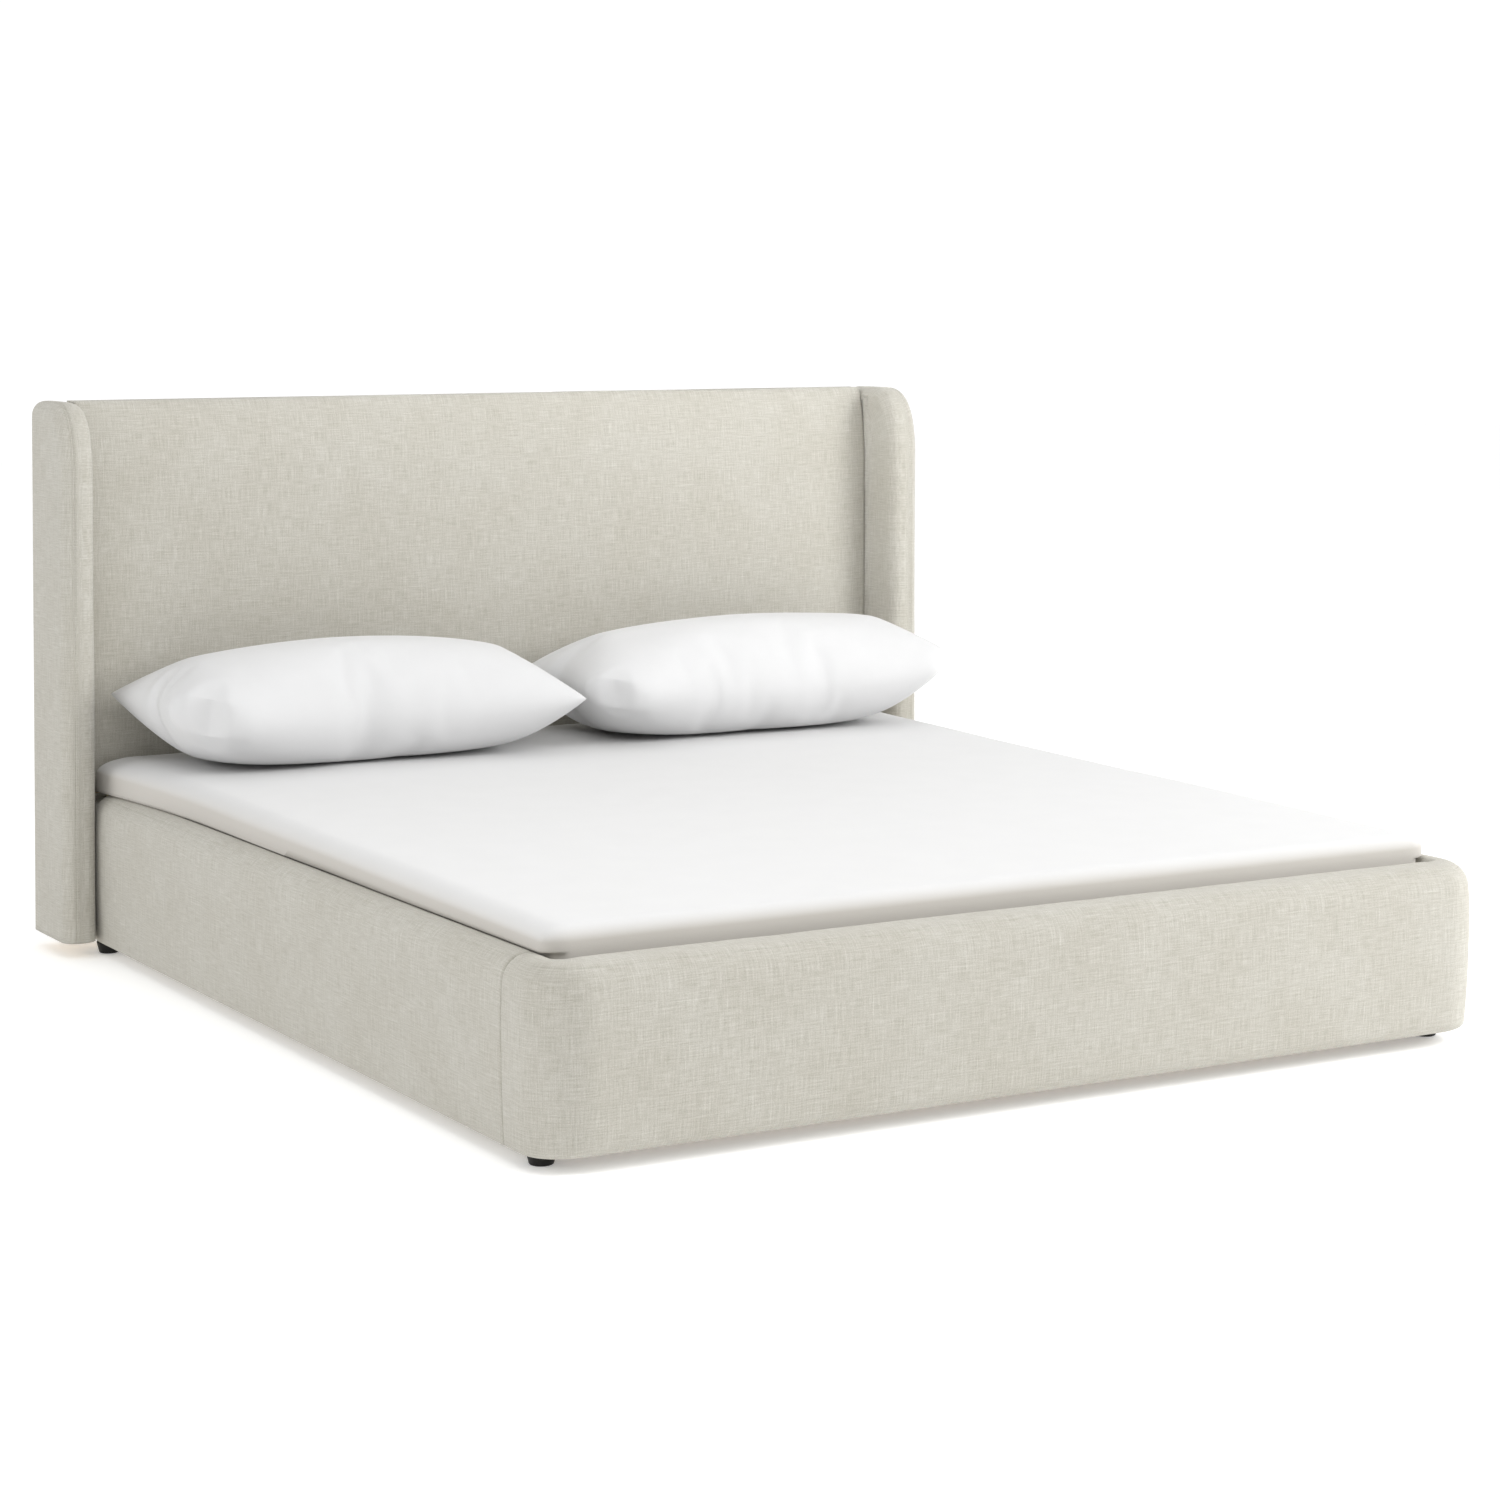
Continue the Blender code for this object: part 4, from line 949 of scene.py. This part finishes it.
def wing_row(point, outward, inner_end, outer_end, run, arcs, grooves):
    """One row of the right wing's skin, as its points, cloth coordinates and seam relief."""
    row, where, relief = [], [], []
    flat = WING_HALF - WING_EDGE_RADIUS
    upright = inner_end[0] <= WING_CREASE_Y
    behind = np.array([WING_CREASE_STRIP, 0.0] if upright else [0.0, -WING_CREASE_STRIP])
    beyond = flat + np.linalg.norm(point - inner_end) + 0.005
    for share in (1.0, 0.5, 0.0):
        row.append((WING_LOW.x - WING_CREASE_REACH, *(inner_end + behind * share)))
        where.append((30.0 - beyond - WING_CREASE_STRIP * share, run))
    for reach, place, depth in inner_side(point, outward, inner_end):
        row.append((WING_MIDDLE - reach, *place))
        where.append((30.0 - flat - depth, run))
    for x in np.linspace(-flat, flat, 5)[1:-1]:
        row.append((WING_MIDDLE + x, *point))
        where.append((30.0 + x, run))
    relief += [0.0] * len(row)
    for index, (reach, place) in enumerate(outer_side(point, outward, outer_end, arcs)):
        row.append((WING_MIDDLE + reach, *place))
        on_edge = index < len(arcs)
        if on_edge:
            unrolled = WING_EDGE_RADIUS * (math.pi / 2 - 1) - arcs[index]
            relief.append(float(sum(hollow(arcs[index] - at, *groove) for at, groove in grooves.items())))
        else:
            relief.append(0.0)
        flattened = point + outward * unrolled if on_edge else place
        where.append(tuple(flattened + np.array([40.0, 0.0])))
    back_y, back_z = outer_end
    climb = max(0.0, (back_z - WING_CORNER_LOW) / (WING_SIDE_TOP - WING_CORNER_LOW)) ** 2
    tilt = (WING_CORE_TOP - WING_SIDE_TOP) * climb
    back_low = WING_LOW.x - WING_BACK_REACH
    for share in np.linspace(0, 1, 8)[1:]:
        x = WING_HIGH.x + (back_low - WING_HIGH.x) * share
        row.append((x, back_y, back_z + tilt * share))
        where.append((42.5 + WING_HIGH.x - x, back_z))
    for forward in WING_BACK_RETURN:
        row.append((back_low, back_y - forward, back_z + tilt))
        where.append((42.5 + WING_HIGH.x - back_low + forward, back_z))
    relief += [0.0] * (len(row) - len(relief))
    return row, where, relief


def make_wing_grid():
    """Points, cloth coordinates and seam relief of the right wing's skin. Each row runs from the crease
    round the front edge and the outer side to the back and round its inner edge. The last rows close the
    top of the back. The cloth coordinates of the parts lie metres apart, so that no two are the same."""
    seam = math.radians(WING_SEAM_ANGLE) * WING_EDGE_RADIUS
    grooves = {seam + side * STITCH_OFFSET: STITCH_GROOVE for side in (-1, 1)}
    grooves[seam] = WING_SEAM_GROOVE
    arcs = with_groove(np.linspace(0, math.pi / 2 * WING_EDGE_RADIUS, 12), list(grooves))
    rows = [wing_row(*place, arcs, grooves) for place in wing_path()]
    return closed_back(*[np.array(part) for part in zip(*rows)])


def closed_back(grid, cloth, relief):
    """Adds rows that turn over the back's top edge and draw together in the middle of its end. There the
    strip behind the crease is folded away, so that it doesn't lie on the back."""
    last, back_y = grid[-1].copy(), WING_HIGH.y
    last[:2] = last[2]
    centre = np.array([WING_MIDDLE, back_y, (HEAD_TOP + WING_SIDE_TOP) / 2])
    rows = []
    for degrees in CLOSING_ANGLES:
        turned = math.radians(degrees)
        drawn = WING_BACK_RADIUS * (1 - math.cos(turned)) / (HEAD_TOP - centre[2])
        row = last + (centre - last) * drawn
        row[:, 1] = last[:, 1] + (back_y - last[:, 1]) * math.sin(turned)
        rows.append(row)
    edge = rows[-1]
    for share in CLOSING_SHARES:
        row = edge + (centre - edge) * share
        row[:, 1] = edge[:, 1]
        rows.append(row)
    places = [cloth[-1] + np.array([0.0, 0.002 * (number + 1)]) for number in range(len(rows))]
    still = np.zeros((len(rows), grid.shape[1]))
    return np.concatenate([grid, rows]), np.concatenate([cloth, places]), np.concatenate([relief, still])


def soften_back(grid):
    """Rounds the wing's outer upright back edge."""
    near = np.clip(1 - (WING_HIGH.y - grid[..., 1]) / WING_BACK_SOFTNESS, 0, 1)
    drawn = WING_BACK_SOFTNESS * 0.7 * (1 - np.sqrt(1 - near**2))
    share = np.clip((grid[..., 0] - WING_MIDDLE) / WING_HALF, 0, 1)
    grid[..., 0] -= share * drawn
    return grid


def stitch_rings(start, angle, path):
    """Rings of points round one stitch of the right wing, which starts at a running length."""
    run, points, normals = path
    reach = WING_MIDDLE + WING_HALF - WING_EDGE_RADIUS * (1 - math.sin(angle))
    depth = WING_EDGE_RADIUS * (1 - math.cos(angle))
    rings = []
    for along, size in zip(np.linspace(0, 1, 5), (0.35, 1.0, 1.0, 1.0, 0.35)):
        at = start + STITCH_LENGTH * along
        place = np.array([np.interp(at, run, points[:, axis]) for axis in (0, 1)])
        outward = np.array([np.interp(at, run, normals[:, axis]) for axis in (0, 1)])
        outward /= np.linalg.norm(outward)
        raised = math.sin(math.pi * along) * STITCH_RISE - STITCH_DEPTH
        centre = place - outward * (depth - raised * math.cos(angle))
        middle = np.array([reach + raised * math.sin(angle), *centre])
        up = np.array([math.sin(angle), *(outward * math.cos(angle))])
        out = np.array([math.cos(angle), *(-outward * math.sin(angle))])
        turns = [2 * math.pi / STITCH_SIDES * turn for turn in range(STITCH_SIDES)]
        radius = STITCH_RADIUS * size
        rings.append([middle + radius * (math.cos(turn) * out + math.sin(turn) * up) for turn in turns])
    return rings


def make_wing_stitches(side, sign, thread):
    """Two rows of stitches, one on each side of the seam, sunk into the front edge."""
    seam = math.radians(WING_SEAM_ANGLE) * WING_EDGE_RADIUS
    path = [np.array(part) for part in zip(*wing_path())]
    points, normals, run = path[0], path[1], path[-1]
    builder = bmesh.new()
    for offset in (-STITCH_OFFSET, STITCH_OFFSET):
        angle = (seam + offset) / WING_EDGE_RADIUS
        for start in np.arange(0.012, run[-1] - 0.010, STITCH_PITCH):
            rings = stitch_rings(start, angle, (run, points, normals))
            add_tube(builder, [[(sign * x, y, z) for x, y, z in ring] for ring in rings])
    bmesh.ops.recalc_face_normals(builder, faces=builder.faces)
    made = built(f"wing_stitching_{side}", builder, thread)
    stand_for(made, "bed_frame", "oatmeal_linen")


def make_wings(fabric, foam):
    """Both wings: cover, foam and stitches. The left one is the right one mirrored."""
    grid, cloth, seam_relief = make_wing_grid()
    grid = soften_back(grid)
    from_crease = np.clip((WING_HIGH.y - grid[..., 1]) / 0.03, 0, 1)
    for side, sign in SIDES.items():
        relief = seam_relief + from_crease * unevenness(grid * sign, 0.22, 0.0012, 11)
        shaped = relieved(grid, (1, -1, 0), relief)
        inner = relieved(grid, (1, -1, 0), np.full_like(relief, -PADDING_INSET))
        inner = inner[WING_FOAM_ROWS, WING_FOAM_COLUMNS]
        shaped = shaped if sign > 0 else mirrored(shaped)
        inner = inner if sign > 0 else mirrored(inner)
        outward = (sign, -1, 0)
        coordinates = cloth * np.array([sign, 1.0])
        cover = skin(f"wing_fabric_{side}", shaped, coordinates, outward, fabric)
        finish_cover(cover, f"wing_cover_{side}")
        padding = skin(f"wing_padding_{side}", inner, coordinates, outward, foam)
        thicken(padding, WING_FOAM_THICKNESS)
        finish_padding(padding, f"wing_foam_{side}")
        make_wing_stitches(side, sign, fabric)


# ---------------------------------------------------------------- mattress


def rounded_block(low, high, radius, step, crown):
    """A closed quad mesh of a block with rounded edges: points of a gridded box drawn onto its rounding."""
    size = high - low
    counts = [max(2, int(round(length / step))) for length in size]
    axes = []
    for axis in range(3):
        near = radius * np.array([0.0, 0.12, 0.25, 0.4, 0.55, 0.7, 0.85, 1.0])
        inner = np.linspace(low[axis] + radius, high[axis] - radius, max(2, counts[axis]))[1:-1]
        axes.append(np.concatenate([low[axis] + near, inner, (high[axis] - near)[::-1]]))
    builder = bmesh.new()
    made = {}

    def vertex(i, j, k):
        if (i, j, k) not in made:
            point = Vector((axes[0][i], axes[1][j], axes[2][k]))
            made[i, j, k] = builder.verts.new(point)
        return made[i, j, k]

    last = [len(places) - 1 for places in axes]
    for fixed in range(3):
        first, second = [axis for axis in range(3) if axis != fixed]
        for end in (0, last[fixed]):
            for a in range(last[first]):
                for b in range(last[second]):
                    square = []
                    for step_a, step_b in ((0, 0), (1, 0), (1, 1), (0, 1)):
                        place = [0, 0, 0]
                        place[fixed], place[first], place[second] = end, a + step_a, b + step_b
                        square.append(vertex(*place))
                    builder.faces.new(square)
    inner_low = Vector([value + radius for value in low])
    inner_high = Vector([value - radius for value in high])
    for vert in builder.verts:
        core = Vector([min(max(vert.co[axis], inner_low[axis]), inner_high[axis]) for axis in range(3)])
        out = vert.co - core
        vert.co = core + out.normalized() * radius
    bmesh.ops.recalc_face_normals(builder, faces=builder.faces)
    middle = (low + high) / 2
    half = (high - low) / 2
    for vert in builder.verts:
        if vert.co.z > middle.z:
            across = 1 - ((vert.co.x - middle.x) / half.x) ** 4
            along = 1 - ((vert.co.y - middle.y) / half.y) ** 4
            vert.co.z += crown * across * along - crown
    return builder


def mattress_shape(builder, low, high):
    """Gives the block the mattress's slope and its soft unevenness, and widens it above the rails' tops by
    an overhang, which grows towards the head."""
    builder.normal_update()
    for vert in builder.verts:
        place = vert.co.copy()
        share = (place.z - low.z) / (high.z - low.z)
        drop = (high.z - MATTRESS_TOP_AT_FOOT) * (high.y - place.y) / (high.y - low.y)
        soft = noise.noise(place / 0.35) * 0.0018 + noise.noise(place / 0.11) * 0.0004
        vert.co += vert.normal * min(soft, 0.0 if share < 0.1 else soft)
        vert.co.z -= drop * share
    for ledge in MATTRESS_LEDGE:
        geometry = [*builder.verts, *builder.edges, *builder.faces]
        plane = Vector((0.0, 0.0, RAIL_HIGH.z + ledge))
        bmesh.ops.bisect_plane(builder, geom=geometry, plane_co=plane, plane_no=(0.0, 0.0, 1.0))
    builder.normal_update()
    start, end = MATTRESS_LEDGE
    for vert in builder.verts:
        above = min(max((vert.co.z - RAIL_HIGH.z - start) / (end - start), 0.0), 1.0)
        headward = min(max((vert.co.y - high.y) / MATTRESS_FULL_LENGTH + 1, 0.0), 1.0)
        reach = MATTRESS_OVERHANG + MATTRESS_HEAD_FULLNESS * headward * headward
        vert.co.x += vert.normal.x * reach * above


def make_mattress(foam, ticking):
    low, high = MATTRESS_LOW.copy(), MATTRESS_HIGH.copy()
    high.y -= MATTRESS_HEAD_ROOM
    builder = rounded_block(low, high, MATTRESS_EDGE_RADIUS, MATTRESS_STEP, MATTRESS_CROWN)
    mattress_shape(builder, low, high)
    core = builder.copy()
    core.normal_update()
    inward = [vert.co - vert.normal * PADDING_INSET for vert in core.verts]
    for vert, place in zip(core.verts, inward):
        vert.co = place
    hem = MATTRESS_HEM_INSET
    under = [
        face
        for face in builder.faces
        if all(
            vert.co.z < low.z + 0.001
            and low.x + hem < vert.co.x < high.x - hem
            and low.y + hem < vert.co.y < high.y - hem
            for vert in face.verts
        )
    ]
    bmesh.ops.delete(builder, geom=under, context="FACES")
    cover = built("mattress_fabric", builder, ticking)
    thicken(cover, COVER_THICKNESS)
    stand_for(cover, "mattress", "white_mattress_cover", "mattress_cover")
    padding = built("mattress_padding", core, foam)
    finish_padding(padding, "mattress_core", "mattress")


# ---------------------------------------------------------------- pillows

PILLOW_FLAT = (0.990, 0.570)
PILLOW_GRID = 0.0125
PILLOW_FRAMES = 26
PILLOW_PRESSURE = 6.0
PILLOW_REST = 0.050
PILLOW_SOFTNESS = 0.018
PILLOW_CREASES = 0.36
# How far the pinched left and right ends of each pillow are drawn up, as shares of half its height.
PILLOW_END_LIFTS = {"left": (0.24, 0.10), "right": (0.15, 0.34)}

# How far each corner of a pillow is rounded off, in metres, as (across, along): pull. The others are
# left as pinched tips.
PILLOW_CORNERS = {
    "left": {(-1, -1): 0.075, (1, 1): 0.060},
    "right": {(-1, -1): 0.060, (1, 1): 0.050, (1, -1): 0.040, (-1, 1): 0.030},
}


def flat_pillow_point(across, along, pulls):
    """A point of the pillow's flat outline, with some corners rounded off."""
    point = np.array([across * PILLOW_FLAT[0] / 2, along * PILLOW_FLAT[1] / 2])
    for (sign_x, sign_y), pull in pulls.items():
        near_x = max(0.0, 1 - (1 - sign_x * across) * PILLOW_FLAT[0] / 2 / (2.2 * pull))
        near_y = max(0.0, 1 - (1 - sign_y * along) * PILLOW_FLAT[1] / 2 / (2.2 * pull))
        point -= np.array([sign_x, sign_y]) * pull * (near_x * near_y) ** 1.5
    return point


def pillow_panels(name, pulls):
    """Two flat panels of cloth, sewn together round their edge and a little apart."""
    columns, rows = int(PILLOW_FLAT[0] / PILLOW_GRID), int(PILLOW_FLAT[1] / PILLOW_GRID)
    builder = bmesh.new()
    layer = builder.loops.layers.uv.new(CLOTH_MAP)
    shared = {}
    for half in (1, -1):
        grid = {}
        for column in range(columns + 1):
            for row in range(rows + 1):
                across, along = 2 * column / columns - 1, 2 * row / rows - 1
                edge = column in (0, columns) or row in (0, rows)
                if edge and (column, row) in shared:
                    grid[column, row] = shared[column, row]
                    continue
                lift = 0 if edge else half * (0.002 + 0.040 * (1 - across**2) * (1 - along**2))
                grid[column, row] = builder.verts.new((*flat_pillow_point(across, along, pulls), lift))
                if edge:
                    shared[column, row] = grid[column, row]
        for column in range(columns):
            for row in range(rows):
                places = [(column, row), (column + 1, row), (column + 1, row + 1), (column, row + 1)]
                places = places if half > 0 else places[::-1]
                face = builder.faces.new([grid[place] for place in places])
                for loop, place in zip(face.loops, places):
                    loop[layer].uv = (place[0] * PILLOW_GRID + half, place[1] * PILLOW_GRID)
    mesh = bpy.data.meshes.new(name)
    builder.to_mesh(mesh)
    builder.free()
    return mesh


def inflate(piece, pressure, frames):
    """Blows the sewn panels up as cloth and applies the result."""
    cloth = piece.modifiers.new("cloth", "CLOTH")
    settings = cloth.settings
    settings.quality = 6
    settings.mass = 0.25
    settings.tension_stiffness = 15
    settings.compression_stiffness = 15
    settings.shear_stiffness = 5
    settings.bending_stiffness = 6.0
    settings.air_damping = 3
    settings.use_pressure = True
    settings.uniform_pressure_force = pressure
    settings.effector_weights.gravity = 0
    cloth.point_cache.frame_start = 1
    cloth.point_cache.frame_end = frames
    scene = bpy.context.scene
    for number in range(1, frames + 1):
        scene.frame_set(number)
    graph = bpy.context.evaluated_depsgraph_get()
    blown = bpy.data.meshes.new_from_object(piece.evaluated_get(graph))
    piece.modifiers.remove(cloth)
    piece.data = blown
    scene.frame_set(1)


def points_of(mesh):
    points = np.zeros(len(mesh.vertices) * 3, np.float32)
    mesh.vertices.foreach_get("co", points)
    return points.reshape(-1, 3).astype(float)


def rested(points, low, high):
    """Fits the blown pillow into its box, with its underside pressed flat where it rests."""
    low, high = np.array(low), np.array(high)
    points = fitted(points, low - np.array([0.0, 0.0, PILLOW_REST]), high)
    above = points[:, 2] - low[2]
    pressed = PILLOW_SOFTNESS * np.log1p(np.exp(np.clip(above / PILLOW_SOFTNESS, -30, 30)))
    height = np.where(above > 4 * PILLOW_SOFTNESS, above, pressed)
    height -= height.min()
    points[:, 2] = low[2] + height * (high[2] - low[2]) / height.max()
    return points


def plump_shape(flat):
    """The even shape that the down settles in, from the panels' flat points. The sign of Z tells the
    panel."""
    across, along = 2 * flat[:, 0] / PILLOW_FLAT[0], 2 * flat[:, 1] / PILLOW_FLAT[1]
    swell = np.clip((1 - np.abs(across) ** 3.2) * (1 - along**2), 0, 1) ** 0.54
    shape = flat.copy()
    shape[:, 0] *= 1 - 0.030 * (1 - along**2)
    shape[:, 1] *= 1 - 0.055 * (1 - across**2)
    shape[:, 2] = np.sign(flat[:, 2]) * swell
    return shape


def fitted(points, low, high):
    """Points stretched to fill a box."""
    start, end = points.min(0), points.max(0)
    return (points - start) / (end - start) * (np.array(high) - np.array(low)) + np.array(low)


def make_pillow(side, cotton):
    """One pillow: its sewn panels blown up as cloth, eased towards an even shape and laid in its box."""
    node = f"pillow_{side}"
    low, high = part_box(node)
    name = f"pillow_{side}_stuffed"
    piece = link(pillow_panels(name, PILLOW_CORNERS[side]), name, cotton)
    even = fitted(plump_shape(points_of(piece.data)), (-1, -1, -1), (1, 1, 1))
    points = even
    inflate(piece, PILLOW_PRESSURE, PILLOW_FRAMES)
    blown = fitted(points_of(piece.data), (-1, -1, -1), (1, 1, 1))
    points = even + (blown - even) * PILLOW_CREASES
    left_lift, right_lift = PILLOW_END_LIFTS[side]
    across = points[:, 0]
    points[:, 2] += left_lift * np.clip(-across, 0, 1) ** 3 + right_lift * np.clip(across, 0, 1) ** 3
    points = rested(points, low, high)
    piece.data.vertices.foreach_set("co", points.astype(np.float32).ravel())
    piece.data.update()
    piece.data.shade_smooth()
    smoother = piece.modifiers.new("smoother", "SUBSURF")
    smoother.levels = 1
    smoother.render_levels = 1
    stand_for(piece, node, "white_cotton", node)


# ---------------------------------------------------------------- feet and fittings


def turned_piece(name, profile, place, surface, segments=56):
    """A body of revolution about an upright axis, from its profile of (radius, height)."""
    angles = [2 * math.pi * step / segments for step in range(segments)]
    rings = []
    for radius, height in profile:
        ring = [(place.x + radius * math.cos(a), place.y + radius * math.sin(a), height) for a in angles]
        rings.append(ring)
    return solid(name, rings, surface)


def foot_profile(low, high):
    """A tapered foot's profile in its box, from the middle of its underside: a rounded lower edge, the
    taper, and a narrower rim under the bed."""
    top = (high.x - low.x) / 2
    bottom = top * FOOT_TAPER
    profile = [(bottom * 0.5, low.z + 0.0006), (bottom - FOOT_EDGE, low.z)]
    centre = (bottom - FOOT_EDGE, low.z + FOOT_EDGE)
    profile += [tuple(point) for point in arc(centre, FOOT_EDGE, np.arange(-75, 1, 15))]
    for share in np.linspace(0.2, 1.0, 6):
        height = centre[1] + (high.z - 0.0015 - centre[1]) * share
        profile.append((bottom + (top - bottom) * share, height))
    return profile + [(top - 0.0006, high.z - 0.0004), (top - 0.0018, high.z)]


def make_feet(black):
    """Four turned feet in the places of the CAD ones."""
    for end in ("front", "rear"):
        for side in SIDES:
            node = f"foot_{end}_{side}"
            low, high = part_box(node)
            foot = turned_piece(f"{node}_turned", foot_profile(low, high), (low + high) / 2, black)
            stand_for(foot, "bed_frame", "black_plastic", node)


def paint_nodes(surfaces):
    """Gives each CAD node that stays in view its finish."""
    for name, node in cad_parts.items():
        if node.hide_render:
            continue
        for start, surface in surfaces.items():
            if name.startswith(start):
                node.data.materials.clear()
                node.data.materials.append(surface)


# ---------------------------------------------------------------- floor, lights and camera


def make_stage():
    made, tree, shader = new_material("pale_floor", (0.93, 0.93, 0.925), 0.9, Specular_IOR_Level=0.1)
    place = add(tree, "TexCoord", {}).outputs["Object"]
    cloud = stretched_noise(tree, place, (1.5, 1.5, 1.5), 1.0)
    colour = mix_colour(tree, cloud, (0.925, 0.925, 0.92), (0.94, 0.94, 0.935))
    tree.links.new(colour, shader.inputs["Base Color"])
    shader.inputs["Emission Color"].default_value = (1.0, 1.0, 1.0, 1.0)
    shader.inputs["Emission Strength"].default_value = FLOOR_GLOW
    half = FLOOR_HALF
    mesh = bpy.data.meshes.new("floor")
    corners = [(-half, -half, 0), (half, -half, 0), (half, half, 0), (-half, half, 0)]
    mesh.from_pydata(corners, [], [(0, 1, 2, 3)])
    floor = link(mesh, "floor", made)


def make_world():
    """White all round, and dimmer on the side that the bed's foot faces, so that the padding has shade."""
    world = bpy.data.worlds.new("studio")
    world.use_nodes = True
    tree = world.node_tree
    background = tree.nodes["Background"]
    background.inputs["Color"].default_value = (1.0, 1.0, 1.0, 1.0)
    direction = add(tree, "TexCoord", {}).outputs["Generated"]
    inputs = {0: direction, 1: WORLD_BRIGHT_SIDE}
    towards = add(tree, "VectorMath", inputs, operation="DOT_PRODUCT").outputs["Value"]
    inputs = {"Value": towards, "From Min": -0.2, "From Max": 0.85}
    inputs.update({"To Min": WORLD_DIM, "To Max": WORLD_BRIGHT})
    strength = add(tree, "MapRange", inputs, interpolation_type="SMOOTHSTEP").outputs[0]
    tree.links.new(strength, background.inputs["Strength"])
    bpy.context.scene.world = world


def area_light(name, place, target, size, power, spread):
    light = bpy.data.lights.new(name, "AREA")
    light.spread = math.radians(spread)
    light.shape = "RECTANGLE"
    light.size, light.size_y = size
    light.energy = power
    made = bpy.data.objects.new(name, light)
    made.location = place
    made.rotation_euler = (Vector(target) - Vector(place)).to_track_quat("-Z", "Y").to_euler()
    bpy.context.scene.collection.objects.link(made)


def make_camera():
    """The camera, level but for a small tilt, with its shift keeping the uprights parallel."""
    camera = bpy.data.cameras.new("camera")
    camera.sensor_width = 36.0
    camera.lens = CAMERA_LENS
    camera.shift_y = CAMERA_SHIFT
    camera.clip_end = 100.0
    made = bpy.data.objects.new("camera", camera)
    made.location = CAMERA_PLACE
    made.rotation_euler = (math.radians(90 - CAMERA_DOWN), 0.0, math.radians(CAMERA_TURN))
    bpy.context.scene.collection.objects.link(made)
    bpy.context.scene.camera = made


# ---------------------------------------------------------------- the whole bed


def main():
    """Makes every piece and the studio."""
    make_camera()
    make_stage()
    make_world()
    for name, settings in LIGHTS.items():
        area_light(name, *settings)
    fabric = linen_material()
    foam = foam_material()
    cotton = cotton_material()
    ticking = ticking_material()
    pine = pine_material()
    make_surround(fabric, foam)
    make_panel(fabric, foam)
    make_lower_cloth(fabric)
    make_back_panel(fabric)
    make_wings(fabric, foam)
    make_mattress(foam, ticking)
    for side in SIDES:
        make_pillow(side, cotton)
    black = black_material()
    make_feet(black)
    plywood = plywood_material()
    steel = steel_material()
    paint_nodes(
        {
            "slat_": pine,
            "centre_": pine,
            "headboard_": pine,
            "headboard_board": plywood,
            "wing_core": plywood,
            "side_rail_board": plywood,
            "footboard_core": plywood,
            "corner_bracket": steel,
            "beam_hanger": steel,
            "leveller": black,
        }
    )
    bpy.context.scene.view_settings.view_transform = "Standard"


main()
